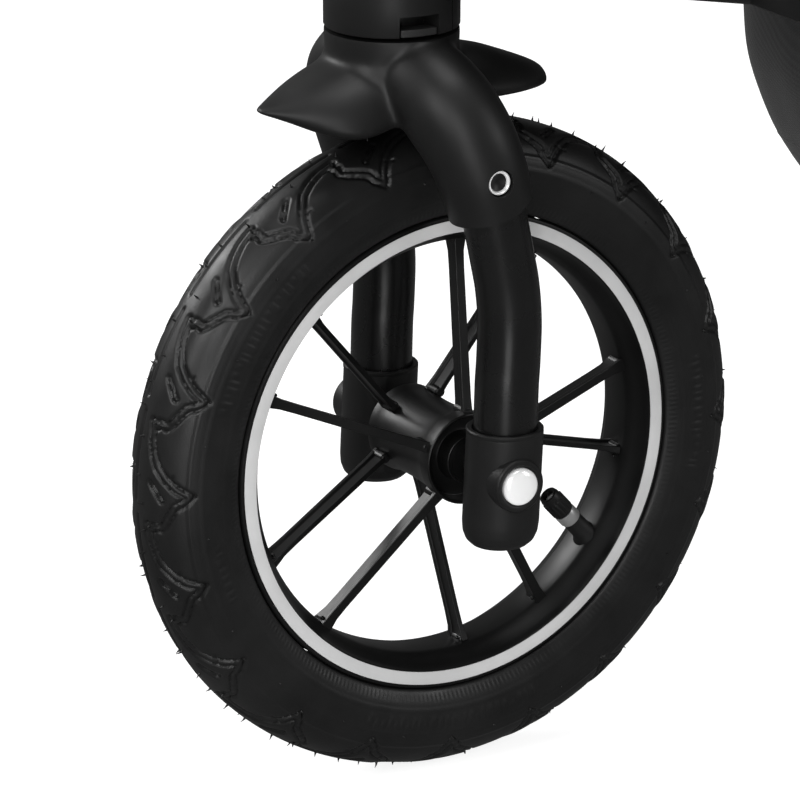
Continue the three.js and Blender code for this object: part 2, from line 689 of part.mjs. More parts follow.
export default stroller;
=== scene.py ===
"""Looks of an all-terrain baby stroller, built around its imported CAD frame. Z up, the floor at z = 0."""
import math

import bmesh
import bpy
import numpy as np
from mathutils import Matrix, Vector
from mathutils.bvhtree import BVHTree


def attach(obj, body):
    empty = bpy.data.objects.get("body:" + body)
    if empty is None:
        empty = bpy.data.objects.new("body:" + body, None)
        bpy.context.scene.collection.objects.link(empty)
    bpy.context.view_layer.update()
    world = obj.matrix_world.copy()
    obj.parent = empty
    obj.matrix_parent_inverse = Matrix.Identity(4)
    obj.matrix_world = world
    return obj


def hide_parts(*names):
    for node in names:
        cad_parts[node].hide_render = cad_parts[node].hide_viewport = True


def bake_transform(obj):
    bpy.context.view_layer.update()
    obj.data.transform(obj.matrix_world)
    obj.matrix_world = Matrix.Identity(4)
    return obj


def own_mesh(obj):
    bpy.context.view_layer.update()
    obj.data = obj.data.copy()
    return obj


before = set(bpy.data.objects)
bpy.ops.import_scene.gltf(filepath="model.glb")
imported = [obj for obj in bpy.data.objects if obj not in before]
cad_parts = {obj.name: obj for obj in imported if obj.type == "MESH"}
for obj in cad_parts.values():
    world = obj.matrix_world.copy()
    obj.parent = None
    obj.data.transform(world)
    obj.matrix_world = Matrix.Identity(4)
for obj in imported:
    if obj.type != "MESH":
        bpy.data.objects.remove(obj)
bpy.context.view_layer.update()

MM = 0.001
HUB = np.array([398.0, 0.0, 152.0])  # front hub, mm
TRAIL = 22.9  # the swivel axis lies this far ahead of the front hub
LEG_Y = 54.5
SEAM_Z = 196.5  # above the hub, where the crown meets the head housing
HINGE = np.array([-130.0, 0.0, 530.0])
SIDE_Y = 222.0
HANDLE_ANGLE = 122.6
BACKREST_ANGLE = 108.0
REAR = np.array([-340.0, 0.0, 152.0])
REAR_WHEEL_Y = 274.0


# ---- mesh code -------------------------------------------------------------------------------------------
def grid(points, wrap_u=False, wrap_v=False, cap_u=False, cap_v=False):
    """Quads over a (u, v, 3) array of points, with flat caps across the open ends."""
    p = np.asarray(points, float)
    nu, nv = p.shape[:2]
    verts = p.reshape(-1, 3).tolist()
    index = np.arange(nu * nv).reshape(nu, nv)
    i = np.arange(nu if wrap_u else nu - 1)
    j = np.arange(nv if wrap_v else nv - 1)
    a = index[np.ix_(i, j)]
    b = index[np.ix_((i + 1) % nu, j)]
    c = index[np.ix_((i + 1) % nu, (j + 1) % nv)]
    d = index[np.ix_(i, (j + 1) % nv)]
    faces = np.stack([a, b, c, d], -1).reshape(-1, 4).tolist()
    if cap_u:
        faces += [index[0].tolist()[::-1], index[-1].tolist()]
    if cap_v:
        faces += [index[:, 0].tolist(), index[:, -1].tolist()[::-1]]
    return verts, faces


def moved(part, offset):
    verts, faces = part
    return (np.asarray(verts) + np.asarray(offset)).tolist(), faces


def turned(part, degrees, axis="Y", centre=(0, 0, 0)):
    """A part turned about an axis through a centre, as Blender's Matrix.Rotation does."""
    verts, faces = part
    m = np.array(Matrix.Rotation(math.radians(degrees), 3, axis))
    c = np.asarray(centre, float)
    return ((np.asarray(verts) - c) @ m.T + c).tolist(), faces


def mirrored(part):
    verts, faces = part
    v = np.asarray(verts) * (1, -1, 1)
    return v.tolist(), [f[::-1] for f in faces]


def mesh_from(name, parts, clean=True):
    """One mesh in metres from parts given in millimetres."""
    verts, faces = [], []
    for v, f in parts:
        base = len(verts)
        verts += v
        faces += [[k + base for k in face] for face in f]
    mesh = bpy.data.meshes.new(name)
    mesh.from_pydata((np.asarray(verts) * MM).tolist(), [], faces)
    bm = bmesh.new()
    bm.from_mesh(mesh)
    if clean:
        bmesh.ops.remove_doubles(bm, verts=bm.verts, dist=1e-7)
        bmesh.ops.dissolve_degenerate(bm, edges=bm.edges, dist=1e-7)
    bmesh.ops.recalc_face_normals(bm, faces=bm.faces)
    bm.to_mesh(mesh)
    bm.free()
    return mesh


def smooth(mesh, angle=38):
    mesh.polygons.foreach_set("use_smooth", [True] * len(mesh.polygons))
    mesh.set_sharp_from_angle(angle=math.radians(angle))


def place(name, mesh, material, body=None, replaces=(), bevel=0.0):
    """Adds a mesh to the scene as a piece."""
    obj = bpy.data.objects.new(name, mesh)
    bpy.context.scene.collection.objects.link(obj)
    mesh.materials.clear()
    mesh.materials.append(material)
    if bevel:
        rounding = obj.modifiers.new("edges", "BEVEL")
        rounding.width = bevel * MM
        rounding.segments = 2
        rounding.limit_method = "ANGLE"
        rounding.angle_limit = math.radians(40)
    if body:
        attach(obj, body)
    if replaces:
        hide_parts(*replaces)
    return obj


def piece(name, parts, material, body, replaces=(), bevel=0.0, angle=38, clean=True):
    mesh = mesh_from(name, parts, clean)
    smooth(mesh, angle)
    return place(name, mesh, material, body, replaces, bevel)


def spline(points, count):
    """A smooth curve through the points, sampled evenly."""
    p = np.asarray(points, float)
    p = np.vstack([2 * p[0] - p[1], p, 2 * p[-1] - p[-2]])
    out = []
    for k in range(1, len(p) - 2):
        t = np.linspace(0, 1, 40, endpoint=False)[:, None]
        a, b, c, d = p[k - 1], p[k], p[k + 1], p[k + 2]
        out.append(0.5 * (2 * b + (c - a) * t + (2 * a - 5 * b + 4 * c - d) * t**2
                          + (3 * b - a - 3 * c + d) * t**3))
    out.append(p[-2][None])
    return evenly(np.vstack(out), count)


def evenly(line, count):
    line = np.asarray(line, float)
    s = np.concatenate([[0], np.cumsum(np.linalg.norm(np.diff(line, axis=0), axis=1))])
    at = np.linspace(0, s[-1], count)
    return np.stack([np.interp(at, s, line[:, k]) for k in range(line.shape[1])], -1)


def bent(points, bend, count):
    """Straight runs with rounded corners, each corner starting at the bend distance."""
    p = np.asarray(points, float)
    line = [p[0]]
    for a, b, c in zip(p[:-2], p[1:-1], p[2:]):
        before = b + (a - b) / np.linalg.norm(a - b) * bend
        after = b + (c - b) / np.linalg.norm(c - b) * bend
        for t in np.linspace(0, 1, 14):
            line.append((1 - t) ** 2 * before + 2 * t * (1 - t) * b + t * t * after)
    line.append(p[-1])
    return evenly(line, count)


def sweep(path, section, up=(0, 1, 0), scale=None, closed=False):
    """A section of (side, up) points carried along a path, with flat ends."""
    path = np.asarray(path, float)
    section = np.asarray(section, float)
    if closed:
        tangent = np.roll(path, -1, 0) - np.roll(path, 1, 0)
    else:
        tangent = np.gradient(path, axis=0)
    tangent /= np.linalg.norm(tangent, axis=1)[:, None]
    normal = np.asarray(up, float)
    rows = []
    for k, (p, t) in enumerate(zip(path, tangent)):
        normal = normal - t * (normal @ t)
        normal /= np.linalg.norm(normal)
        side = np.cross(t, normal)
        size = 1.0 if scale is None else scale[k]
        rows.append(p + (section[:, :1] * side + section[:, 1:] * normal) * size)
    return grid(rows, wrap_u=closed, wrap_v=True, cap_u=not closed)


def circle(radius, sides=24):
    a = np.linspace(0, 2 * math.pi, sides, endpoint=False)
    return np.stack([np.cos(a), np.sin(a)], -1) * radius


def tube(path, radius, sides=24, up=(0, 1, 0), scale=None, closed=False):
    return sweep(path, circle(radius, sides), up, scale, closed)


def lathe(profile, steps=48, axis="Y", centre=(0, 0, 0)):
    """A closed outline of (radius, height) turned about an axis."""
    p = np.asarray(profile, float)
    if p[0, 0] > 1e-6 or p[-1, 0] > 1e-6:
        p = np.vstack([p, p[:1]]) if np.abs(p[0] - p[-1]).max() > 1e-9 else p
    a = np.linspace(0, 2 * math.pi, steps, endpoint=False)[:, None]
    r, h = p[:, 0][None], p[:, 1][None]
    u, v = r * np.cos(a), r * np.sin(a)
    h = np.broadcast_to(h, u.shape)
    rows = {"Y": (u, h, -v), "Z": (u, v, h), "X": (h, u, v)}[axis]
    return moved(grid(np.stack(rows, -1), wrap_u=True), centre)


def prism(outline, low, high, axis="Y"):
    """An outline extruded from low to high: (x, z) along Y, or (x, y) along Z."""
    o = np.asarray(outline, float)
    layers = []
    for h in (low, high):
        flat = np.full(len(o), float(h))
        layers.append(np.stack([o[:, 0], flat, o[:, 1]] if axis == "Y" else [o[:, 0], o[:, 1], flat], -1))
    return grid(layers, wrap_v=True, cap_u=True)


def rounded(half_x, half_y, corner, steps=8):
    points = []
    for sx, sy, start in ((1, 1, 0), (-1, 1, 90), (-1, -1, 180), (1, -1, 270)):
        for k in range(steps + 1):
            a = math.radians(start + 90 * k / steps)
            points.append((sx * (half_x - corner) + corner * math.cos(a),
                           sy * (half_y - corner) + corner * math.sin(a)))
    return np.array(points)


def polar(centre, r, degrees):
    """A point in the XZ plane at a distance and an angle from a centre."""
    a = math.radians(degrees)
    return np.array([centre[0] + r * math.cos(a), centre[1], centre[2] + r * math.sin(a)])


def apply_modifiers(obj):
    """The object's mesh with its modifiers applied, as a new mesh."""
    graph = bpy.context.evaluated_depsgraph_get()
    graph.update()
    mesh = bpy.data.meshes.new_from_object(obj.evaluated_get(graph))
    obj.modifiers.clear()
    old = obj.data
    obj.data = mesh
    bpy.data.meshes.remove(old)
    return mesh


def fused(name, parts, voxel, rounds, cutters=(), factor=0.5):
    """Parts melted into one closed body: remeshed, smoothed, then cut with crisp edges."""
    obj = bpy.data.objects.new(name, mesh_from(name, parts))
    bpy.context.scene.collection.objects.link(obj)
    melt = obj.modifiers.new("melt", "REMESH")
    melt.mode = "VOXEL"
    melt.voxel_size = voxel * MM
    relax = obj.modifiers.new("relax", "SMOOTH")
    relax.factor = factor
    relax.iterations = rounds
    tools = []
    for k, cutter in enumerate(cutters):
        tool = bpy.data.objects.new(f"{name}_tool{k}", mesh_from("tool", [cutter]))
        bpy.context.scene.collection.objects.link(tool)
        tools.append(tool)
        cut = obj.modifiers.new("cut", "BOOLEAN")
        cut.operation = "DIFFERENCE"
        cut.solver = "EXACT"
        cut.object = tool
    mesh = apply_modifiers(obj)
    for tool in tools:
        bpy.data.objects.remove(tool)
    bpy.data.objects.remove(obj)
    smooth(mesh, 42)
    return mesh


# ---- materials -------------------------------------------------------------------------------------------
def nodes_of(name):
    material = bpy.data.materials.new(name)
    material.use_nodes = True
    tree = material.node_tree
    return material, tree, tree.nodes["Principled BSDF"]


def noise(tree, scale, detail=3.0, stretch=None, rough=0.55):
    coords = tree.nodes.new("ShaderNodeTexCoord")
    texture = tree.nodes.new("ShaderNodeTexNoise")
    texture.inputs["Scale"].default_value = scale
    texture.inputs["Detail"].default_value = detail
    texture.inputs["Roughness"].default_value = rough
    source = coords.outputs["Object"]
    if stretch:
        mapping = tree.nodes.new("ShaderNodeMapping")
        mapping.inputs["Scale"].default_value = stretch
        tree.links.new(source, mapping.inputs["Vector"])
        source = mapping.outputs["Vector"]
    tree.links.new(source, texture.inputs["Vector"])
    return texture.outputs["Fac"]


def ramp(tree, value, low, high, colours):
    node = tree.nodes.new("ShaderNodeValToRGB")
    node.color_ramp.elements[0].position = low
    node.color_ramp.elements[1].position = high
    for element, colour in zip(node.color_ramp.elements, colours):
        element.color = (*colour, 1) if len(colour) == 3 else colour
    tree.links.new(value, node.inputs["Fac"])
    return node.outputs["Color"]


def grey(v):
    return (v, v, v)


def bump(tree, shader, height, strength, distance):
    node = tree.nodes.new("ShaderNodeBump")
    node.inputs["Strength"].default_value = strength
    node.inputs["Distance"].default_value = distance
    tree.links.new(height, node.inputs["Height"])
    tree.links.new(node.outputs["Normal"], shader.inputs["Normal"])


def solid_material(name, dark, light, rough, grain, strength=0.15, depth=0.0002, metal=0.0, specular=0.5,
                   tone=14.0):
    """Moulded, painted or rubber surface: two close tones, uneven gloss and a fine grain."""
    material, tree, shader = nodes_of(name)
    broad = noise(tree, tone, 4)
    tree.links.new(ramp(tree, broad, 0.35, 0.68, (dark, light)), shader.inputs["Base Color"])
    tree.links.new(ramp(tree, noise(tree, tone * 3.1, 5), 0.3, 0.7, (grey(rough[0]), grey(rough[1]))),
                   shader.inputs["Roughness"])
    shader.inputs["Metallic"].default_value = metal
    shader.inputs["Specular IOR Level"].default_value = specular
    bump(tree, shader, noise(tree, grain, 2), strength, depth)
    return material


def fabric_material(name, dark, light, thread, sheen=0.25, strength=0.5):
    """Woven cloth: crossing threads along the three axes, with slubs and a soft sheen."""
    material, tree, shader = nodes_of(name)
    coords = tree.nodes.new("ShaderNodeTexCoord")
    waves = []
    for direction in ("X", "Y", "Z"):
        wave = tree.nodes.new("ShaderNodeTexWave")
        wave.bands_direction = direction
        wave.inputs["Scale"].default_value = 1 / thread / 3.2
        wave.inputs["Distortion"].default_value = 0.6
        wave.inputs["Detail Scale"].default_value = 2.0
        tree.links.new(coords.outputs["Object"], wave.inputs["Vector"])
        waves.append(wave.outputs["Fac"])
    first = tree.nodes.new("ShaderNodeMath")
    first.operation = "MULTIPLY"
    tree.links.new(waves[0], first.inputs[0])
    tree.links.new(waves[1], first.inputs[1])
    weave = tree.nodes.new("ShaderNodeMath")
    weave.operation = "ADD"
    tree.links.new(first.outputs[0], weave.inputs[0])
    tree.links.new(waves[2], weave.inputs[1])
    slub = tree.nodes.new("ShaderNodeMath")
    slub.operation = "ADD"
    tree.links.new(weave.outputs[0], slub.inputs[0])
    tree.links.new(noise(tree, 260, 3), slub.inputs[1])
    tree.links.new(ramp(tree, slub.outputs[0], 0.45, 1.75, (dark, light)), shader.inputs["Base Color"])
    shader.inputs["Roughness"].default_value = 0.88
    shader.inputs["Sheen Weight"].default_value = sheen
    shader.inputs["Sheen Roughness"].default_value = 0.45
    shader.inputs["Specular IOR Level"].default_value = 0.25
    bump(tree, shader, slub.outputs[0], strength, 0.0004)
    return material


RUBBER = solid_material("tyre_rubber", grey(0.0045), grey(0.0085), (0.36, 0.50), 900, 0.22, 0.0002, 0, 0.42,
                        22)
STEM_RUBBER = solid_material("stem_rubber", grey(0.006), grey(0.010), (0.5, 0.6), 700, 0.2, 0.0001, 0, 0.3,
                             40)
WHEEL = solid_material("wheel_plastic", grey(0.0030), grey(0.0050), (0.32, 0.42), 500, 0.05, 0.0001, 0,
                       0.36, 18)
MOULDED = solid_material("moulded_plastic", grey(0.0050), grey(0.0075), (0.42, 0.50), 1500, 0.10, 0.00012,
                         0, 0.34, 16)
PAINT = solid_material("frame_paint", grey(0.0036), grey(0.0056), (0.24, 0.31), 1800, 0.06, 0.00006, 0, 0.5,
                       12)
PEDAL = solid_material("pedal_plastic", grey(0.016), grey(0.024), (0.42, 0.52), 1300, 0.15, 0.0001, 0, 0.4,
                       20)
STRIPE = solid_material("reflective_band", grey(0.46), grey(0.53), (0.40, 0.52), 2200, 0.10, 0.0001, 0.0,
                        0.5, 30)
CHROME = solid_material("bright_metal", grey(0.92), grey(0.97), (0.16, 0.24), 900, 0.02, 0.00004, 0.25, 0.8,
                        30)
DULL_STEEL = solid_material("dull_steel", grey(0.36), grey(0.46), (0.28, 0.42), 900, 0.05, 0.00005, 0.6,
                            0.5, 40)
FOAM = solid_material("grip_foam", grey(0.007), grey(0.012), (0.82, 0.95), 1400, 0.6, 0.0003, 0, 0.2, 60)
SEAT_CLOTH = fabric_material("seat_cloth", grey(0.0085), grey(0.022), 0.0011, 0.12)
SHELL_CLOTH = fabric_material("shell_cloth", grey(0.0042), grey(0.0095), 0.0007, 0.08, 0.35)
BINDING = fabric_material("binding_tape", grey(0.005), grey(0.012), 0.0009, 0.1, 0.5)
WEBBING = fabric_material("webbing", grey(0.006), grey(0.015), 0.0014, 0.1, 0.9)


# ---- tyre ------------------------------------------------------------------------------------------------
PERIODS = 20
DEGREES_TO_MM = 2.62
# The tread's groove, from one shoulder tip to the next: degrees back from the tip, mm from the crown.
GROOVE = [(0, 28), (1.4, 24.9), (2, 21.2), (3.6, 18.5), (5.3, 15.6), (6.1, 13.6), (5.7, 10.2), (6.4, 8.8),
          (5.8, 6.1), (8.7, 6.8), (11.2, 8.9), (13.4, 11.8), (15.2, 16.6), (16.7, 21.6), (18, 28)]
CROSS_LINES = [((1.15, 22.3), (2.75, 22.9)), ((16.0, 18.6), (14.4, 19.6)), ((10.2, 9.4), (11.0, 6.9)),
               ((3.2, 17.0), (4.6, 18.6))]
INNER_V = [(0.9, 21.4), (0.25, 25.2), (-0.9, 21.8)]
SIPE = ((-1.9, 8.4), (1.0, 14.7))
DASH = ((4.7, -1.2), (20.0, -2.0))


def tyre_section():
    """Half a section from the crown to the bead: radius, y and distance along it."""
    a = np.radians(np.linspace(0, 90, 200))
    crown = np.stack([129 + 23 * np.cos(a) ** 0.91, 23 * np.sin(a) ** 0.91], -1)
    wall = spline([(129, 23), (124, 22.9), (118.6, 21.9), (114.6, 20.3), (112.4, 19.0), (111.9, 17.6),
                   (111.9, 15.2)], 60)
    line = np.vstack([crown, wall[1:]])
    s = np.concatenate([[0], np.cumsum(np.linalg.norm(np.diff(line, axis=0), axis=1))])
    return line, s


def distance_to(u, w, lines):
    """Distance in mm from each (degrees, mm) place to the nearest of some open lines."""
    best = np.full(u.shape, 1e9)
    x, y = u * DEGREES_TO_MM, w
    for line in lines:
        for (u0, w0), (u1, w1) in zip(line[:-1], line[1:]):
            ax, bx = u0 * DEGREES_TO_MM, u1 * DEGREES_TO_MM
            dx, dy = bx - ax, w1 - w0
            t = np.clip(((x - ax) * dx + (y - w0) * dy) / (dx * dx + dy * dy), 0, 1)
            best = np.minimum(best, np.hypot(x - ax - t * dx, y - w0 - t * dy))
    return best


def shifted(line, by):
    return [(u + by, w) for u, w in line]


def hump(d, width):
    return np.exp(-(d / width) ** 2)


def tread_depth(u, w):
    """Displacement in mm of one side's tread: u in degrees back from a tip, w in mm from the crown."""
    step = 360 / PERIODS
    around = [-step, 0, step]
    arc = distance_to(u, w, [shifted(GROOVE, k) for k in around])
    depth = -1.25 * hump(arc - 1.7, 0.55)
    depth -= 0.35 * (arc < 1.5)
    cross = distance_to(u, w, [shifted(c, k) for c in CROSS_LINES for k in around])
    depth = np.minimum(depth, -0.9 * hump(cross, 0.5))
    inner = distance_to(u, w, [shifted(INNER_V, k) for k in around])
    depth = np.minimum(depth, -0.6 * hump(inner, 0.45))
    sipe = distance_to(u, w, [shifted(SIPE, k) for k in around])
    depth = np.minimum(depth, -1.2 * hump(sipe - 1.05, 0.5) - 0.3 * (sipe < 1.0))
    edge_u = np.array([g[0] for g in GROOVE if g[0] not in (5.7,)])
    edge_w = np.array([g[1] for g in GROOVE if g[0] not in (5.7,)])
    order = np.argsort(edge_u)
    edge = np.interp(u % step, edge_u[order], edge_w[order])
    shoulder = 1 / (1 + np.exp(-(w - edge) / 0.5)) / (1 + np.exp((w - 26.6) / 0.35))
    return depth - 0.5 * shoulder


def tyre(columns, fine, coarse, hairs=True, tip_angle=55.6, marks=True):
    """A tyre about the origin, its outer side at +Y, as a grid displaced by its tread."""
    line, s = tyre_section()
    w = np.concatenate([np.arange(0, 30, fine), np.arange(30, s[-1], coarse), [s[-1]]])
    r = np.interp(w, s, line[:, 0])
    y = np.interp(w, s, line[:, 1])
    dr, dy = np.gradient(line[:, 0]), np.gradient(line[:, 1])
    size = np.hypot(dr, dy)
    normal_r, normal_y = np.interp(w, s, dy / size), np.interp(w, s, -dr / size)
    w = np.concatenate([-w[:0:-1], w])
    r, normal_r = (np.concatenate([v[:0:-1], v]) for v in (r, normal_r))
    y, normal_y = (np.concatenate([-v[:0:-1], v]) for v in (y, normal_y))
    theta = np.arange(columns) * 360 / columns
    back = (tip_angle - theta)[:, None] % (360 / PERIODS)
    ww = np.broadcast_to(w[None], (columns, len(w)))
    near = tread_depth(np.broadcast_to(back, ww.shape), ww)
    half = 180 / PERIODS
    far = tread_depth(np.broadcast_to((back + half) % (2 * half), ww.shape), -ww)
    depth = np.where(ww > 0, near, far)
    dash = distance_to(np.broadcast_to(back, ww.shape), ww,
                       [shifted(DASH, k) for k in (-2 * half, 0, 2 * half)])
    depth = np.minimum(depth, -1.15 * hump(dash, 0.75))
    wall = np.abs(ww)
    depth += 0.45 * hump(wall - 33.6, 0.6) + 0.28 * hump(wall - 27.0, 0.5) + 0.3 * hump(wall - 44.5, 0.5)
    comb = np.cos(np.arange(columns) * math.pi / 2)[:, None]
    depth += 0.11 * comb * hump(wall - (s[-1] - 7.4), 1.3)
    if marks:
        depth += side_marks(theta, ww)
    rr = r[None] + depth * normal_r[None]
    yy = y[None] + depth * normal_y[None]
    a = np.radians(theta)[:, None]
    points = np.stack([rr * np.cos(a), np.broadcast_to(yy, rr.shape), rr * np.sin(a)], -1)
    parts = [grid(points, wrap_u=True, wrap_v=True)]
    if hairs:
        parts += vent_hairs(tip_angle)
    return parts


def side_marks(theta, w):
    """Raised plain bars on both side walls, in three groups that stand for moulded marking."""
    draw = np.random.default_rng(7)
    raised = np.zeros(w.shape)
    for start, count, low, high in ((18, 22, 35.6, 41.4), (252, 26, 36.6, 41.0), (168, 16, 36.4, 41.2),
                                    (338, 8, 37.6, 40.6)):
        at = start
        for _ in range(count):
            wide = draw.uniform(0.5, 1.35)
            top = high if draw.random() < 0.7 else (low + high) / 2
            along = 1 / (1 + np.exp(-(theta - at) / 0.06)) / (1 + np.exp((theta - at - wide) / 0.06))
            across = 1 / (1 + np.exp(-(np.abs(w) - low) / 0.3)) / (1 + np.exp((np.abs(w) - top) / 0.3))
            raised = np.maximum(raised, along[:, None] * across)
            at += wide + draw.uniform(0.5, 0.9)
    return 0.42 * raised


def vent_hairs(tip_angle):
    """Slender rubber vents left by the mould, along the crown, at the tread's tips and on the wall."""
    draw = np.random.default_rng(11)
    line, s = tyre_section()
    places = []
    for k in range(72):
        places.append((k * 5 + draw.uniform(-0.9, 0.9), draw.choice([-3.4, 0.6, 3.6]),
                       draw.uniform(1.5, 3.2)))
    for k in range(PERIODS):
        tip = tip_angle - k * 360 / PERIODS
        for side in (1, -1):
            places.append((tip + 0.2 - (0 if side > 0 else 9), side * 30.2, draw.uniform(1.0, 1.8)))
            places.append((tip - 6 - (0 if side > 0 else 9), side * 7.4, draw.uniform(1.2, 2.4)))
            places.append((tip - 9 + draw.uniform(-3, 3), side * draw.uniform(30, 36),
                           draw.uniform(0.6, 1.1)))
    hairs = []
    for angle, w, length in places:
        r = np.interp(abs(w), s, line[:, 0])
        y = math.copysign(np.interp(abs(w), s, line[:, 1]), w)
        lean = (np.interp(abs(w) + 0.5, s, line[:, 1]) - np.interp(abs(w) - 0.5, s, line[:, 1]))
        drop = (np.interp(abs(w) - 0.5, s, line[:, 0]) - np.interp(abs(w) + 0.5, s, line[:, 0]))
        out = np.array([lean, math.copysign(drop, w)])
        out /= np.linalg.norm(out)
        tilt = draw.uniform(-0.35, 0.35)
        a = math.radians(angle)
        radial = np.array([math.cos(a), 0, math.sin(a)])
        along = np.array([-math.sin(a), 0, math.cos(a)])
        base = radial * r + np.array([0, y, 0])
        direction = radial * out[0] + np.array([0, out[1], 0])
        path = [base + direction * t * length + along * tilt * length * t * t
                for t in (-0.15, 0.25, 0.6, 1.0)]
        hairs.append(tube(path, 0.52, 6, up=(0.3, 0.8, 0.5), scale=[1.25, 0.85, 0.5, 0.2]))
    return hairs


# ---- wheel -----------------------------------------------------------------------------------------------
SPOKE_PAIR = 34.5
SPOKE_SECTION = [(-2.3, 4.4), (2.3, 4.4), (2.3, 2.4), (1.25, 1.6), (1.25, -4.2), (-1.25, -4.2),
                 (-1.25, 1.6), (-2.3, 2.4)]


def rim_and_hub(steps):
    half = [(96.9, 0), (96.9, 7.5), (97.6, 9.6), (99.6, 12.2), (101.7, 15.2), (102.7, 17.4), (103.1, 19.0),
            (103.6, 19.35), (109.7, 19.35), (110.9, 19.0), (111.5, 18.2), (111.5, 16.4), (110.4, 14.6),
            (107.4, 12.6), (104.6, 10), (103, 6), (102.6, 0)]
    outline = [(r, y) for r, y in half] + [(r, -y) for r, y in half[-2:0:-1]]
    hub = [(6.6, -27.2), (19.4, -27.2), (20.2, -26.2), (20.2, -23.2), (19.7, -21.6), (19.1, -17),
           (18.8, -8), (18.9, 4), (19.6, 14), (20.6, 20.4), (21.2, 22.2), (21.2, 28.2), (20.8, 28.8),
           (20.0, 28.8), (19.6, 28.2), (19.2, 20.8), (12.6, 20.2), (11.4, 20.6), (11.2, 29.3), (6.6, 29.3)]
    return [lathe(outline, steps), lathe(hub, 64)]


def spokes():
    parts = []
    for pair in range(5):
        for side, hub_y in ((-1, 21.5), (1, -17.5)):
            a = math.radians(SPOKE_PAIR + 72 * pair + side * 12.5)
            radial = np.array([math.cos(a), 0, math.sin(a)])
            tangent = np.array([-math.sin(a), 0, math.cos(a)])
            start = radial * 18.4 + np.array([0, hub_y, 0])
            end = radial * 98.2 + np.array([0, 3 - side, 0])
            path = evenly([start, end], 12)
            taper = np.interp(np.linspace(0, 1, 12), [0, 0.1, 0.86, 0.95, 1], [1.12, 1.0, 0.96, 1.05, 1.35])
            flip = 1 if hub_y > 0 else -1
            section = np.array(SPOKE_SECTION) * (1, flip)
            parts.append(sweep(path, section, up=(0, 1, 0), scale=taper))
            for spot, size in ((end - (end - start) * 0.012, 2.7), (start + (end - start) * 0.03, 2.6)):
                foot = lathe([(0, -4.8), (size * 0.8, -4.6), (size, -3.8), (size, 3.8), (size * 0.8, 4.6),
                              (0, 4.8)], 14)
                parts.append(moved(foot, spot))
            mark = end - radial * 3.2 + tangent * 3.1 + np.array([0, 3.2, 0])
            parts.append(lathe([(0, -1), (0.9, -0.8), (0.9, 0.6), (0.5, 1.0), (0, 1.1)], 10, centre=mark))
    return parts


def valve():
    """Stem, collar and ribbed cap along +X from radius 0, to be turned to the valve's angle."""
    stem = lathe([(0, 97.5), (5.6, 97.5), (5.4, 94.5), (3.9, 92.2), (3.7, 84.6), (0, 84.6)], 28, "X")
    collar = lathe([(0, 85.2), (3.9, 85.2), (4.15, 84.6), (4.15, 81.2), (3.9, 80.4), (0, 80.4)], 28, "X")
    rows = []
    a = np.linspace(0, 2 * math.pi, 96, endpoint=False)
    rib = 1 + 0.055 * np.sign(np.cos(a * 16)) * np.abs(np.cos(a * 16)) ** 0.4
    for x, radius, ribbed in ((80.2, 3.6, 0), (80.0, 4.05, 0), (79.0, 4.1, 1), (73.4, 4.1, 1),
                              (72.9, 3.9, 0), (71.6, 3.85, 0), (70.3, 3.5, 0), (69.9, 2.9, 0),
                              (70.5, 2.2, 0), (71.6, 1.9, 0)):
        radii = radius * (rib if ribbed else np.ones_like(rib))
        rows.append(np.stack([np.full_like(a, x), radii * np.cos(a), radii * np.sin(a)], -1))
    cap = grid(rows, wrap_v=True, cap_u=True)
    return stem, collar, cap


def set_valve(part):
    """Puts the valve in its place on the front wheel, where it leans away from the radius."""
    verts, faces = moved(part, (-70, 0, 0))
    return moved(turned((np.asarray(verts) * 1.25, faces), 132.7), HUB + (-58.3, 3, -34.9))


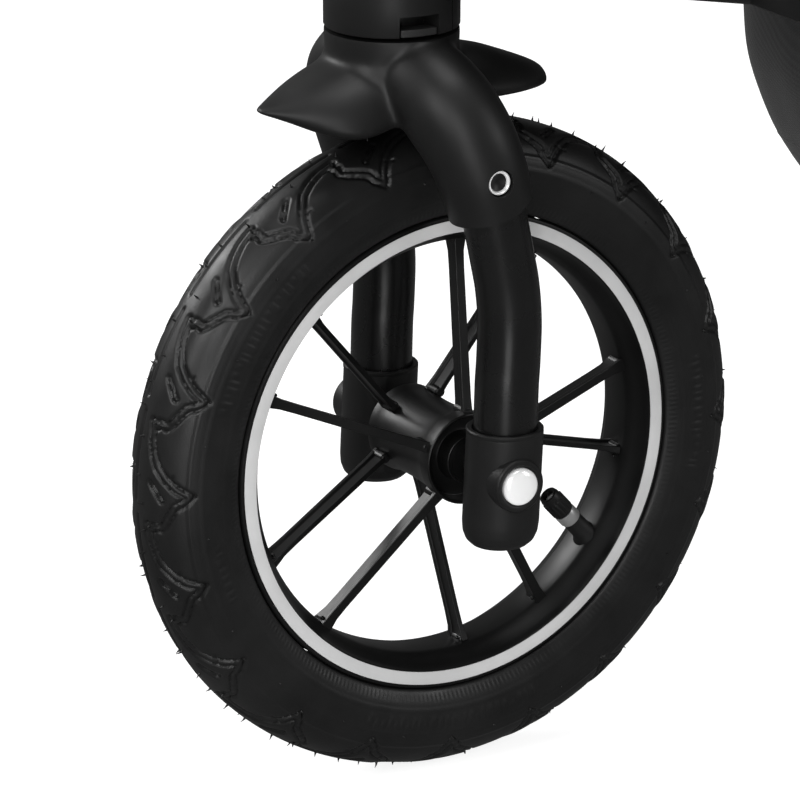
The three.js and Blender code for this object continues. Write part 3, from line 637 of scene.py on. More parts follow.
def build_wheels():
    fine_tyre = mesh_from("front_tyre_mesh", [moved(p, HUB) for p in tyre(1280, 0.72, 1.05)], clean=False)
    smooth(fine_tyre, 60)
    place("front_tyre_rubber", fine_tyre, RUBBER, "front_wheel", ["front_tyre"])
    piece("front_wheel_casting", [moved(p, HUB) for p in rim_and_hub(192) + spokes()], WHEEL, "front_wheel",
          ["front_wheel"], bevel=0.3, angle=32)
    band = [(103.5, 19.3), (109.5, 19.3), (109.5, 19.52), (109.3, 19.62), (103.7, 19.62), (103.5, 19.52)]
    left = lathe(band, 192)
    for side, part in (("left", left), ("right", mirrored(left))):
        piece(f"front_stripe_{side}", [moved(part, HUB)], STRIPE, "front_wheel",
              [f"front_rim_stripe_{side}"])
    stem, collar, cap = (set_valve(p) for p in valve())
    piece("valve_stem_rubber", [stem], STEM_RUBBER, "front_wheel", ["front_valve_stem"])
    piece("valve_collar", [collar], DULL_STEEL, "front_wheel")
    piece("valve_dust_cap", [cap], MOULDED, "front_wheel", ["front_valve_cap"], angle=30)

    rear_parts = tyre(640, 1.3, 2.0, hairs=False, marks=False)
    casting = rim_and_hub(120) + spokes()
    cover = lathe([(0, 28.6), (19.8, 28.6), (20.6, 29.4), (20.6, 30.6), (19.4, 31.6), (15.5, 33.0),
                   (14.6, 34.4), (12.6, 36.2), (9.5, 37.2), (8.6, 36.6), (0, 36.4)], 64)
    for side, flip in (("left", 1), ("right", -1)):
        centre = REAR + (0, flip * REAR_WHEEL_Y, 0)
        put = (lambda p: moved(p, centre)) if flip > 0 else (lambda p: moved(mirrored(p), centre))
        body = f"rear_wheel_{side}"
        rubber = mesh_from(f"rear_tyre_{side}_mesh", [put(p) for p in rear_parts], clean=False)
        smooth(rubber, 60)
        place(f"rear_tyre_{side}_rubber", rubber, RUBBER, body, [f"rear_tyre_{side}"])
        piece(f"rear_casting_{side}", [put(p) for p in casting], WHEEL, body,
              [f"rear_wheel_{side}"], bevel=0.3, angle=32)
        piece(f"rear_stripe_{side}", [put(left), put(mirrored(left))], STRIPE, body,
              [f"rear_rim_stripe_{side}"])
        piece(f"rear_hub_cover_{side}", [put(cover)], MOULDED, body, [f"rear_hub_cap_{side}"],
              angle=50)
        stem, collar, cap = (put(moved(set_valve(p), -HUB)) for p in valve())
        piece(f"rear_valve_stem_{side}", [stem], STEM_RUBBER, body)
        piece(f"rear_valve_collar_{side}", [collar], DULL_STEEL, body)
        piece(f"rear_valve_cap_{side}", [cap], MOULDED, body, angle=30)


# ---- fork, crown and head --------------------------------------------------------------------------------
LEG_LINE = [(-3.2, 12), (-3.9, 40), (-4.7, 53.2), (-5.2, 71.6), (-3.8, 87.5), (-1.4, 99.7), (1.1, 111.5),
            (3.2, 121), (6, 133)]
WINGS = [  # x, half width, top, bottom
    (-54.5, 3, 167.6, 164.2),
    (-53, 9, 169.8, 163),
    (-49.5, 14, 172, 162.6),
    (-43, 19, 175, 162.6),
    (-33, 24, 179, 162.8),
    (-20, 27.5, 183.6, 163),
    (0, 30, 187.5, 163),
    (25, 32, 189, 160.5),
    (45, 32.8, 186.6, 155),
    (54, 32, 184, 153.4),
    (62, 29.4, 180.6, 154.6),
    (70, 24.4, 176.8, 157.4),
    (78, 17, 172.8, 161),
    (85.5, 9.5, 169.4, 164),
    (91.5, 3, 167.6, 165.8),
]


def wings():
    table = np.array(WINGS)
    line = spline(table, 70)
    a = np.linspace(0, 2 * math.pi, 48, endpoint=False)
    rows = []
    for x, half, top, bottom in line:
        middle = bottom + (top - bottom) * 0.16
        c, s = np.cos(a), np.sin(a)
        y = half * np.sign(c) * np.abs(c) ** 0.92
        z = np.where(s > 0, middle + (top - middle) * np.abs(s) ** 1.25,
                     middle - (middle - bottom) * np.abs(s) ** 0.7)
        rows.append(np.stack([np.full_like(a, x), y, z], -1))
    return grid(rows, wrap_v=True, cap_u=True)


def build_fork():
    leg = [(x, LEG_Y, z) for x, z in LEG_LINE]
    for side, flip in (("left", 1), ("right", -1)):
        tube_part = tube(spline(leg, 60), 14.3, 40, up=(1, 0, 0))
        socket = lathe([(0, -32.6), (8.5, -32.5), (12.6, -31.5), (15.3, -29), (16.8, -25.4), (17.25, -21),
                        (17.25, 21.4), (0, 21.4)], 64, "Z", (-2, LEG_Y, 0))
        socket = [(x - 0.05 * (z + 4), y, z) for x, y, z in socket[0]], socket[1]
        boss = lathe([(8.7, 60), (12.2, 60), (12.3, 71.7), (12.1, 72.5), (11.5, 73.0), (9.8, 73.0),
                      (9.2, 72.6), (8.7, 71.6)], 64)
        recess = lathe([(0, 69.6), (8.6, 69.6), (8.6, 80), (0, 80)], 40)
        well = tube(spline([(-4.0, LEG_Y, 15), (-3.6, LEG_Y, 26)], 6), 15.0, 40, up=(1, 0, 0))
        hollow = lathe([(0, -25), (6.4, -25), (6.4, 90), (0, 90)], 24)
        flat_in = prism([(-40, -60), (40, -60), (40, 60), (-40, 60)], 20, 38.4)
        shell = fused("dropout", [socket], 0.7, 3, [recess, well, hollow, flat_in])
        lip = lathe([(14.75, 20.2), (17.0, 20.2), (17.35, 20.7), (17.35, 22.0), (16.9, 22.5), (15.3, 22.5),
                     (14.75, 22.1)], 64, "Z", (-3.1, LEG_Y, 0))
        dome = lathe([(0, 69.8), (8.4, 69.8), (8.45, 73.4), (8.1, 74.3), (7.0, 75.1), (4.2, 75.8),
                      (0, 76.0)], 64)
        parts = {"tube": [tube_part], "lip": [lip, boss], "dome": [dome]}
        if flip < 0:
            parts = {k: [mirrored(p) for p in v] for k, v in parts.items()}
            for vertex in shell.vertices:
                vertex.co.y = -vertex.co.y
            shell.flip_normals()
        for vertex in shell.vertices:
            vertex.co += Vector(HUB * MM)
        parts = {k: [moved(p, HUB) for p in v] for k, v in parts.items()}
        piece(f"fork_tube_{side}", parts["tube"], PAINT, "fork", [f"fork_leg_{side}"])
        place(f"dropout_body_{side}", shell, MOULDED, "fork", [f"dropout_{side}"])
        piece(f"dropout_lip_{side}", parts["lip"], MOULDED, "fork")
        piece(f"axle_dome_{side}", parts["dome"], CHROME, "fork", [f"axle_cap_{side}"], angle=50)
    axle = [lathe([(0, -70), (6, -70), (6, 70), (0, 70)], 24),
            lathe([(6, 29.4), (10.6, 29.4), (10.9, 29.8), (10.9, 34), (6, 34)], 32),
            lathe([(6, -37), (10.9, -37), (10.9, -27.6), (6, -27.6)], 32)]
    piece("axle_and_spacers", [moved(p, HUB) for p in axle], WHEEL, "fork", ["front_axle"])
    build_crown()


def build_crown():
    route = [(2.6, 54.5, 112), (4.2, 54.5, 122), (6.8, 54.6, 132), (10.4, 53.6, 144), (14.4, 49.8, 156),
             (18.2, 41, 167), (20.6, 29, 175.5), (22.4, 12, 181), (22.9, 0, 182)]
    size = np.interp(np.linspace(0, 1, 60), [0, 0.12, 0.22, 0.4, 0.58, 0.75, 1],
                     [19.3, 19.3, 19.9, 21, 21.6, 20, 16])
    arm = tube(spline(route, 60), 1.0, 40, up=(1, 0, 0), scale=size)
    collar = lathe([(0, 166), (27, 166), (28.8, 178), (29.8, 188), (30.3, 199), (0, 199)], 64, "Z",
                   (TRAIL, 0, 0))
    flare = lathe([(0, 164), (33.5, 164), (32.5, 169), (31, 175), (29.5, 184), (0, 184)], 64, "Z",
                  (TRAIL + 2, 0, 0))
    top = prism([(-60, -70), (120, -70), (120, 70), (-60, 70)], SEAM_Z - 0.4, 230, "Z")
    cutters = [top]
    for flip in (1, -1):
        bore = tube(spline([(x, LEG_Y, z) for x, z in LEG_LINE[3:]], 20), 14.75, 32, up=(1, 0, 0))
        lower = prism([(-40, 60), (60, 60), (60, 115), (24, 118.5), (4, 124.5), (-16, 135), (-40, 150)], 20,
                      90)
        hole = lathe([(0, 66), (6.1, 66), (6.1, 90), (0, 90)], 32, centre=(11, 0, 140.4))
        for cutter in (bore, lower, hole):
            cutters.append(cutter if flip > 0 else mirrored(cutter))
    shell = fused("crown", [arm, mirrored(arm), collar, flare, wings()], 1.15, 44, cutters)
    for vertex in shell.vertices:
        vertex.co += Vector(HUB * MM)
    place("crown_moulding", shell, MOULDED, "fork", ["fork_crown"])
    for side, flip in (("left", 1), ("right", -1)):
        ring = lathe([(4.0, 70.5), (4.3, 71.4), (4.8, 72.0), (5.3, 71.9), (5.6, 71.2), (5.6, 66.5),
                      (4.0, 66.5)], 40, centre=(11, 0, 140.4))
        pit = lathe([(0, 66.2), (4.05, 66.2), (4.05, 70.6), (3.2, 70.2), (1.6, 69.4), (0, 69.2)], 24,
                    centre=(11, 0, 140.4))
        ring, pit = ((ring, pit) if flip > 0 else (mirrored(ring), mirrored(pit)))
        piece(f"screw_ring_{side}", [moved(ring, HUB)], CHROME, "fork", [f"fork_screw_{side}"],
              angle=50)
        piece(f"screw_socket_{side}", [moved(pit, HUB)], MOULDED, "fork")


WINDOW = (66.0, 102.5)  # degrees round the swivel axis


def build_head():
    axis = (TRAIL, 0, 0)
    outline = [(12, SEAM_Z + 1.2), (28.9, SEAM_Z + 1.2), (29.8, SEAM_Z + 1.4), (30.2, SEAM_Z + 2),
               (30.25, 212), (30.25, 284), (29.6, 288.4), (27.4, 291), (24.6, 292.4), (24.0, 297.0),
               (22.6, 298), (0, 298)]
    body = lathe([(0, SEAM_Z + 1.2)] + outline[1:], 96, "Z", axis)

    def sector(inner, outer, start, stop):
        a = np.radians(np.linspace(start, stop, 9))
        ring = [(TRAIL + outer * math.cos(t), outer * math.sin(t)) for t in a]
        return ring + [(TRAIL + inner * math.cos(t), inner * math.sin(t)) for t in a[::-1]]

    window = prism(sector(20, 34, *WINDOW), 190, SEAM_Z + 6.4, "Z")
    slot = prism(sector(20, 34, *WINDOW), 198, SEAM_Z + 10.9, "Z")
    cutters = [window, slot]
    for angle in (121.3, -121.3):
        groove = prism([(27.6, -0.55), (32, -0.55), (32, 0.55), (27.6, 0.55)], 190, 283, "Z")
        cutters.append(moved(turned(groove, angle, "Z"), axis))
    mesh = mesh_from("head", [body])
    obj = bpy.data.objects.new("head", mesh)
    bpy.context.scene.collection.objects.link(obj)
    tools = []
    for k, cutter in enumerate(cutters):
        tool = bpy.data.objects.new(f"head_tool{k}", mesh_from("tool", [cutter]))
        bpy.context.scene.collection.objects.link(tool)
        tools.append(tool)
        cut = obj.modifiers.new("cut", "BOOLEAN")
        cut.operation = "DIFFERENCE"
        cut.solver = "EXACT"
        cut.object = tool
    mesh = apply_modifiers(obj)
    for tool in tools:
        bpy.data.objects.remove(tool)
    bpy.data.objects.remove(obj)
    for vertex in mesh.vertices:
        vertex.co += Vector(HUB * MM)
    smooth(mesh, 34)
    place("head_shell", mesh, MOULDED, "frame", ["head_housing"], bevel=0.35)
    core = prism(sector(22, 29.6, WINDOW[0] + 1.2, WINDOW[1] - 1.2), SEAM_Z + 1.6, SEAM_Z + 4.9, "Z")
    piece("swivel_lock_tab", [moved(core, HUB)], PEDAL, "swivel_lock", ["swivel_lock"], bevel=0.4)
    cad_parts["swivel_spindle"].data.materials.clear()
    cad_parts["swivel_spindle"].data.materials.append(CHROME)


# ---- frame -----------------------------------------------------------------------------------------------
BASKET_TOP = 322.0
FRONT_TUBE = [(414.9, 10, 426), (372, 62, 421), (330, 112, 418), (246, 172, 426), (130, 207, 452),
              (0, 222, 492), (-72, 222, 513), (-106, 222, 522.8)]
GRIP = np.array([-532.0, 0.0, 1034.0])
PIVOT = polar(HINGE, 330, HANDLE_ANGLE)
LEG_ANGLE = math.degrees(math.atan2(REAR[2] - HINGE[2], REAR[0] - HINGE[0]))
LEG_LENGTH = math.hypot(REAR[2] - HINGE[2], REAR[0] - HINGE[0])
SEAT_Z = 482.0


def both(part):
    return [part, mirrored(part)]


def stadium(a, ra, b, rb, steps=20):
    """The outline, in (x, z), of two discs and the straight edges that join them."""
    a, b = np.asarray(a)[[0, -1]], np.asarray(b)[[0, -1]]
    along = math.degrees(math.atan2(b[1] - a[1], b[0] - a[0]))
    lean = math.degrees(math.asin((ra - rb) / np.linalg.norm(b - a)))
    points = []
    for c, r, start, stop in ((a, ra, along + 90 - lean, along + 270 + lean),
                              (b, rb, along - 90 + lean, along + 90 - lean)):
        for k in range(steps + 1):
            t = math.radians(start + (stop - start) * k / steps)
            points.append((c[0] + r * math.cos(t), c[1] + r * math.sin(t)))
    return np.array(points)


def disc(radius, y0, y1, centre, round_edge=1.5, steps=48):
    e = round_edge
    return lathe([(0, y0), (radius - e, y0), (radius - 0.3 * e, y0 + 0.3 * e), (radius, y0 + e),
                  (radius, y1 - e), (radius - 0.3 * e, y1 - 0.3 * e), (radius - e, y1), (0, y1)], steps,
                 centre=centre)


def handle_at(r, y):
    point = polar(HINGE, r, HANDLE_ANGLE)
    return (point[0], y, point[2])


def build_frame():
    path = spline(FRONT_TUBE, 110)
    front = tube(path, 14, 32, up=(0, 0, 1))
    for side, parts in (("left", [front]), ("right", [mirrored(front)])):
        piece(f"front_rail_{side}", parts, PAINT, "frame", [f"front_tube_{side}"])
    for side, flip in (("left", 1), ("right", -1)):
        knuckle = [disc(34, 208, 236, HINGE, 3),
                   lathe([(20, 207.4), (23, 207.4), (23, 236.3), (20, 236.3)], 48, centre=HINGE)]
        bolt = [disc(6, 168, 246, HINGE, 0.5), disc(12, 245.8, 249.5, HINGE, 1.2),
                disc(6.5, 249, 250.3, HINGE, 0.6, 6)]
        for k in range(8):
            tooth = lathe([(0, 208.5), (2.2, 208.5), (2.2, 235.5), (0, 235.5)], 12,
                          centre=polar(HINGE, 33.3, 20 + 45 * k))
            knuckle.append(tooth)
        if flip < 0:
            knuckle, bolt = [mirrored(p) for p in knuckle], [mirrored(p) for p in bolt]
        piece(f"hinge_body_{side}", knuckle, MOULDED, "frame", [f"hinge_{side}"])
        piece(f"hinge_cap_{side}", bolt, DULL_STEEL, "frame", [f"hinge_bolt_{side}"], angle=45)

    loop = bent([(-85, 180, SEAT_Z + 6), (150, 180, SEAT_Z), (150, -180, SEAT_Z), (-85, -180, SEAT_Z + 6)],
                40, 140)
    parts = [tube(loop, 9, 24, up=(0, 0, 1)),
             tube([(-77, y, SEAT_Z + 1) for y in np.linspace(-180, 180, 9)], 8, 24, up=(0, 0, 1))]
    parts += both(prism(rounded(12, 25, 4) + (32, 203), SEAT_Z - 7, SEAT_Z + 4, "Z"))
    board = [prism(rounded(107, 175, 14) + (38, 0), SEAT_Z - 3.5, SEAT_Z + 8.6, "Z")]
    piece("seat_tube_frame", parts, PAINT, "frame", ["seat_frame"], bevel=0.8)
    piece("seat_board", board, MOULDED, "frame", bevel=2.0)
    build_footrest()

    latch_from = 112
    for side, flip in (("left", 1), ("right", -1)):
        outline = stadium(handle_at(latch_from, 0), 12, handle_at(latch_from + 40, 0), 9)
        body = [prism(outline, 199.8, 207.3)]
        for k in range(5):
            at = polar(HINGE, latch_from + 8 + 6 * k, HANDLE_ANGLE)
            body.append(prism(stadium(at + (-6.5, 0, -4), 1.2, at + (6.5, 0, 4), 1.2, 6), 198.9, 201))
        if flip < 0:
            body = [mirrored(p) for p in body]
        piece(f"latch_slider_{side}", body, PEDAL, f"fold_latch_{side}", [f"fold_latch_{side}"],
              bevel=0.7)


def build_footrest():
    slope, back, height = 10.5, 255, 358
    length = (372 - back) / math.cos(math.radians(slope))
    plate = [prism(rounded(length / 2, 100, 34, 12) + (length / 2, 0), 0, 10, "Z")]
    for k in range(7):
        x = 16 + 14.5 * k
        half = 78 if 0 < k < 6 else 62
        plate.append(moved(prism(rounded(2.2, half, 2.1) + (x, 0), 9.4, 11.2, "Z"), (0, 0, 0)))
    rim = [(p[0], p[1], 2.6) for p in rounded(length / 2 - 2, 98, 32, 12) + (length / 2, 0)]
    plate.append(tube(evenly(rim + rim[:1], 180)[:-1], 5.2, 16, up=(0, 0, 1), closed=True))
    plate = [moved(turned(p, -slope), (back, 0, height)) for p in plate]
    arm = prism(rounded(12, 34, 5) + (288, 116), height + 6, height + 18, "Z")
    post = tube([(288, 140, height + 8), (288, 140, 382), (288, 142, 404), (286, 144, 414)], 1.0, 28,
                up=(1, 0, 0), scale=[11.5, 10.5, 10.5, 12])
    collar = tube(spline(FRONT_TUBE, 200)[42:62], 16.4, 32, up=(0, 0, 1))
    piece("footrest_plate", plate + both(arm) + both(post) + both(collar), MOULDED, "frame",
          ["footrest"], bevel=1.2)


# ---- handle and canopy -----------------------------------------------------------------------------------
BOWS = {"rear": (112, 225, 198), "middle": (76, 236, 189), "front": (40, 262, 180)}
BOW_POWER = 2 / 3.5


def hoop(t, angle, height, half):
    c, s = math.cos(math.pi * t), math.sin(math.pi * t)
    y = half * math.copysign(abs(c) ** BOW_POWER, c)
    return polar(PIVOT, height * max(s, 0) ** BOW_POWER, angle) + (0, y, 0)


def build_handle():
    corner = handle_at(560, SIDE_Y)
    path = bent([handle_at(56, SIDE_Y), corner, (GRIP[0], SIDE_Y - 26, GRIP[2]),
                 (GRIP[0], -SIDE_Y + 26, GRIP[2]), (corner[0], -SIDE_Y, corner[2]), handle_at(56, -SIDE_Y)],
                44, 260)
    bar = tube(path, 14, 32, up=(0, 1, 0.2))
    plate = prism(stadium(HINGE, 32, handle_at(98, 0), 13), 236.5, 245.5)
    boss = prism(stadium(handle_at(62, 0), 11, handle_at(96, 0), 10), 226, 237)
    rivets = [disc(4, 244.8, 247.4, np.array(handle_at(r, 0)), 1, 20) for r in (70, 92)]
    plates = [plate, boss] + rivets
    piece("push_handle", [bar] + plates + [mirrored(p) for p in plates], PAINT, "handle",
          ["handle_tube"], bevel=0.8)
    half = 150
    outline = [(14.4, -half)] + [(17 + 1.0 * math.sin(k / 4 * math.pi / 2),
                                  -half + 3 * (1 - math.cos(k / 4 * math.pi / 2))) for k in range(5)]
    for k in range(61):
        y = -half + 6 + (2 * half - 12) * k / 60
        outline.append((18 - 0.5 * (k % 2) * (6 < k < 54), y))
    outline += [(r, -y) for r, y in outline[5:0:-1]] + [(14.4, half)]
    grip = lathe(outline, 48, centre=GRIP)
    collars = [disc(16.4, y, y + 6, GRIP, 1.4, 40) for y in (-half - 6.4, half + 0.4)]
    piece("foam_grip", [grip], FOAM, "handle", ["handle_grip"], angle=50)
    piece("grip_collars", collars, MOULDED, "handle")
    for side, flip in (("left", 1), ("right", -1)):
        pivot = [disc(17, 202.2, 207.6, PIVOT, 1.2), disc(9, 200.6, 203, PIVOT, 0.8),
                 disc(4, 199.8, 201, PIVOT, 0.5, 6)]
        if flip < 0:
            pivot = [mirrored(p) for p in pivot]
        piece(f"canopy_hub_{side}", pivot, MOULDED, "handle", [f"canopy_pivot_{side}"])
    for name, body in (("rear", "handle"), ("middle", "canopy_middle"), ("front", "canopy_front")):
        t = np.linspace(0, 1, 161)
        points = evenly([hoop(v, *BOWS[name]) for v in t], 120)
        piece(f"canopy_hoop_{name}", [tube(points, 4, 16, up=(1, 0, 0))], PAINT, body,
              [f"canopy_bow_{name}"])
    build_canopy()


def canopy_height(angle):
    middle = BOWS["middle"]
    a, b = (BOWS["front"], middle) if angle < middle[0] else (middle, BOWS["rear"])
    share = (angle - a[0]) / (b[0] - a[0])
    sag = 6.5 * math.sin(math.pi * min(max(share, 0), 1)) ** 2
    return 4 + 5.2 + a[1] + (b[1] - a[1]) * share - sag


def canopy_point(t, angle, lift=0.0):
    return hoop(t, angle, canopy_height(angle) + lift, 203.5 + lift)


def build_canopy():
    margin = 0.035
    angles = np.linspace(37, 115, 79)
    rows = []
    for angle in angles:
        across = evenly([canopy_point(margin + (1 - 2 * margin) * k / 240, angle) for k in range(241)], 121)
        rows.append(across)
    rows = np.array(rows)
    ripple = np.random.default_rng(5)
    for _ in range(9):
        i, j = ripple.uniform(6, 72), ripple.uniform(10, 110)
        a, b = np.meshgrid(np.arange(79), np.arange(121), indexing="ij")
        pucker = ripple.uniform(-1.6, 1.0) * np.exp(-((a - i) / 5) ** 2 - ((b - j) / 11) ** 2)
        rows[..., 2] += pucker * (0.4 + 0.6 * (np.abs(b - 60) < 40))
    mesh = mesh_from("canopy_cloth_mesh", [grid(rows)])
    smooth(mesh, 60)
    cloth = place("canopy_cloth", mesh, SHELL_CLOTH, None, ["canopy"])
    thick = cloth.modifiers.new("thickness", "SOLIDIFY")
    thick.thickness = 1.8 * MM
    thick.offset = 0.0
    mesh = apply_modifiers(cloth)
    smooth(mesh, 60)
    trims = []
    for index, radius in ((0, 3.0), (78, 2.6), (39, 1.3)):  # front hem, rear hem, middle seam
        trims.append(tube(rows[index], radius, 10, up=(1, 0, 0)))
    for edge in (rows[:, 0], rows[:, -1]):
        trims.append(tube(edge, 2.4, 10, up=(0, 1, 0)))
    for index in (3, 36, 42, 75):
        for k in range(2, 118, 2):
            a, b = rows[index, k], rows[index, k + 1]
            out = (a - PIVOT) * (1, 0.3, 1)
            out /= np.linalg.norm(out)
            trims.append(tube([a + out * 0.9, (a + b) / 2 + out * 1.4, b + out * 0.9], 0.42, 5,
                              up=(0.2, 0.3, 0.9)))
    mesh = mesh_from("canopy_trim_mesh", trims)
    smooth(mesh, 60)
    trim = place("canopy_trim", mesh, BINDING, None)
    for obj in (cloth, trim):
        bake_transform(obj)


# ---- padding ---------------------------------------------------------------------------------------------
def inflate(obj, cap, pressure=4.0):
    """Blows the pad up by cloth simulation, no point moving further than the cap."""
    rest = np.array([v.co for v in obj.data.vertices])
    cloth = obj.modifiers.new("cloth", "CLOTH")
    cloth.settings.use_pressure = True
    cloth.settings.uniform_pressure_force = pressure
    cloth.settings.effector_weights.gravity = 0
    cloth.settings.quality = 5
    cloth.point_cache.frame_start = 1
    cloth.point_cache.frame_end = 20
    scene = bpy.context.scene
    for step in range(1, 21):
        scene.frame_set(step)
        bpy.context.view_layer.update()
    graph = bpy.context.evaluated_depsgraph_get()
    blown = np.array([v.co for v in obj.evaluated_get(graph).data.vertices])
    obj.modifiers.clear()
    scene.frame_set(1)
    move = blown - rest
    far = np.linalg.norm(move, axis=1)[:, None]
    far[far < 1e-9] = 1e-9
    rest += move / far * np.minimum(far, cap * MM)
    obj.data.vertices.foreach_set("co", rest.ravel())
    obj.data.update()


def pad(name, length, half, thick, corner, to_world, channels, cap, material, body, replaces,
        voxel=5.0):
    """A stuffed pad lying on its back in its own frame (x along, z out), then moved to its place."""
    shrink = 3.0
    layers = []
    for inset, z in ((9, 0.6), (3.5, 2.4), (shrink, thick * 0.3), (shrink, thick * 0.62), (6, thick * 0.85),
                     (14, thick - 2.5)):
        ring = rounded(length / 2 - inset, half - inset, max(corner - inset, 5), 7) + (length / 2, 0)
        layers.append([(x, y, z) for x, y in ring])
    slab = grid(np.array(layers), wrap_v=True, cap_u=True)
    obj = bpy.data.objects.new(name, mesh_from(name, [slab]))
    bpy.context.scene.collection.objects.link(obj)
    melt = obj.modifiers.new("melt", "REMESH")
    melt.mode = "VOXEL"
    melt.voxel_size = voxel * MM
    relax = obj.modifiers.new("relax", "SMOOTH")
    relax.iterations = 3
    apply_modifiers(obj)
    inflate(obj, cap)
    finer = obj.modifiers.new("finer", "SUBSURF")
    finer.levels = 1
    finer.render_levels = 1
    mesh = apply_modifiers(obj)
    co = np.array([v.co for v in mesh.vertices]) / MM
    top = np.clip((co[:, 2] - thick * 0.35) / (thick * 0.4), 0, 1)
    for (ax, ay), (bx, by), depth, wide in channels:
        dx, dy = bx - ax, by - ay
        t = np.clip(((co[:, 0] - ax) * dx + (co[:, 1] - ay) * dy) / (dx * dx + dy * dy), 0, 1)
        d = np.hypot(co[:, 0] - ax - t * dx, co[:, 1] - ay - t * dy)
        co[:, 2] -= depth * top * np.exp(-(d / wide) ** 2)
    co[:, 2] = np.maximum(co[:, 2], 0.2)
    piping = edge_piping(co, length, half, corner, thick * 0.45)
    stitches = channel_stitches(co, channels, thick)
    mesh.vertices.foreach_set("co", (to_world(co) * MM).ravel())
    mesh.update()
    smooth(mesh, 80)
    mesh.materials.clear()
    mesh.materials.append(material)
    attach(obj, body)
    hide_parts(*replaces)
    trims = [(to_world(np.array(v)).tolist(), f) for v, f in [piping] + stitches]
    piece(f"{name}_piping", trims, BINDING, body, angle=60)
    return obj


def edge_piping(co, length, half, corner, level):
    ring = rounded(length / 2, half, corner, 10) + (length / 2, 0)
    ring = evenly(np.vstack([ring, ring[:1]]), 161)[:-1]
    tangent = np.roll(ring, -1, 0) - np.roll(ring, 1, 0)
    tangent /= np.linalg.norm(tangent, axis=1)[:, None]
    out = np.stack([tangent[:, 1], -tangent[:, 0]], -1)
    near = np.abs(co[:, 2] - level) < 7
    edge = co[near]
    reach = []
    for p, t, n in zip(ring, tangent, out):
        away = (edge[:, :2] - p) @ n
        inside = (np.abs((edge[:, :2] - p) @ t) < 6) & (away > -30)
        reach.append(away[inside].max() if inside.any() else 0)
    reach = np.array(reach)
    reach = sum(np.roll(reach, k) for k in range(-3, 4)) / 7
    line = np.column_stack([ring + out * (reach[:, None] - 0.6), np.full(len(ring), level)])
    return tube(line, 2.3, 10, up=(0, 0, 1), closed=True)


def channel_stitches(co, channels, thick):
    """Short raised threads along each sewn channel, lying on the pad."""
    made = []
    upper = co[co[:, 2] > thick * 0.5]
    for (ax, ay), (bx, by), _, _ in channels:
        a, b = np.array([ax, ay], float), np.array([bx, by], float)
        run = np.linalg.norm(b - a)
        direction = (b - a) / run
        count = int(run / 7.5)
        for k in range(count):
            ends = []
            for s in (k * 7.5 + 1.5, k * 7.5 + 5.6):
                spot = a + direction * s
                d = np.hypot(upper[:, 0] - spot[0], upper[:, 1] - spot[1])
                near = np.argsort(d)[:3]
                ends.append(np.array([spot[0], spot[1], upper[near, 2].mean() + 0.15]))
            middle = (ends[0] + ends[1]) / 2 + (0, 0, 0.35)
            made.append(tube([ends[0], middle, ends[1]], 0.55, 5, up=(0.3, 0.2, 0.9)))
    return made


def lean_back(points):
    p = np.asarray(points, float)
    a = math.radians(BACKREST_ANGLE)
    x, z = p[:, 0], p[:, 2]
    return np.stack([HINGE[0] + x * math.cos(a) + z * math.sin(a), p[:, 1],
                     HINGE[2] + x * math.sin(a) - z * math.cos(a)], -1)


def build_seat():
    seat_start = 158 - 232

    def seat_world(p):
        return np.asarray(p) + (seat_start, 0, SEAT_Z + 9.3)

    def back_world(p):
        return lean_back(np.asarray(p) + (24, 0, 9))

    def leg_world(p):
        q = np.asarray(p) + (12, 0, -8)
        a = math.radians(60)
        return np.stack([150 + q[:, 0] * math.cos(a) + q[:, 2] * math.sin(a), q[:, 1],
                         SEAT_Z - q[:, 0] * math.sin(a) + q[:, 2] * math.cos(a)], -1)

    seat_lines = [((18, y), (214, y), 5.0, 4.5) for y in (-96, 96)] + [((x, -94), (x, 94), 3.6, 4.0)
            for x in (70, 128, 184)]
    back_lines = [((22, y), (300, y), 4.6, 4.5) for y in (-92, 92)] + [((x, -90), (x, 90), 3.4, 4.0)
            for x in (70, 140, 210)]
    back_lines += [((300, -110), (300, 110), 4.6, 5)]
    leg_lines = [((12, y), (92, y), 2.6, 3.2) for y in (-75, -25, 25, 75)]
    seat = pad("seat_cushion", 232, 152, 38, 26, seat_world, seat_lines, 6, SEAT_CLOTH, "frame",
               ["seat_pad"])
    back = pad("back_cushion", 391, 146, 33, 40, back_world, back_lines, 6, SEAT_CLOTH, "backrest",
               ["backrest_pad"])
    pad("leg_cushion", 104, 126, 19, 18, leg_world, leg_lines, 3.5, SEAT_CLOTH, "leg_rest",
        ["leg_rest"], voxel=4.0)
    y = 155
    path = bent([(0, y + 16, 0), (40, y, 0), (425, y, 0), (425, -y, 0), (40, -y, 0), (0, -y - 16, 0)], 20,
                240)
    loop = tube(path, 8, 24, up=(0, 0, 1))
    ears = [disc(13, 166, 184, (0, 0, 0), 1.2)]
    verts = [(lean_back(v).tolist(), f) for v, f in [loop] + ears + [mirrored(ears[0])]]
    piece("backrest_hoop", verts, PAINT, "backrest", ["backrest_frame"])
    build_harness(seat, back)


def draped(line, obj, direction, lift):
    """Points laid on a pad: each goes along the direction until it meets the pad, then off it by the lift."""
    tree = BVHTree.FromObject(obj, bpy.context.evaluated_depsgraph_get())
    d = Vector(direction).normalized()
    out = []
    for p in line:
        start = Vector(np.asarray(p, float) * MM) - d * 0.12
        hit = tree.ray_cast(start, d)[0]
        spot = Vector(np.asarray(p, float) * MM) if hit is None else hit
        out.append(np.array(spot - d * (lift * MM)) / MM)
    return np.array(out)


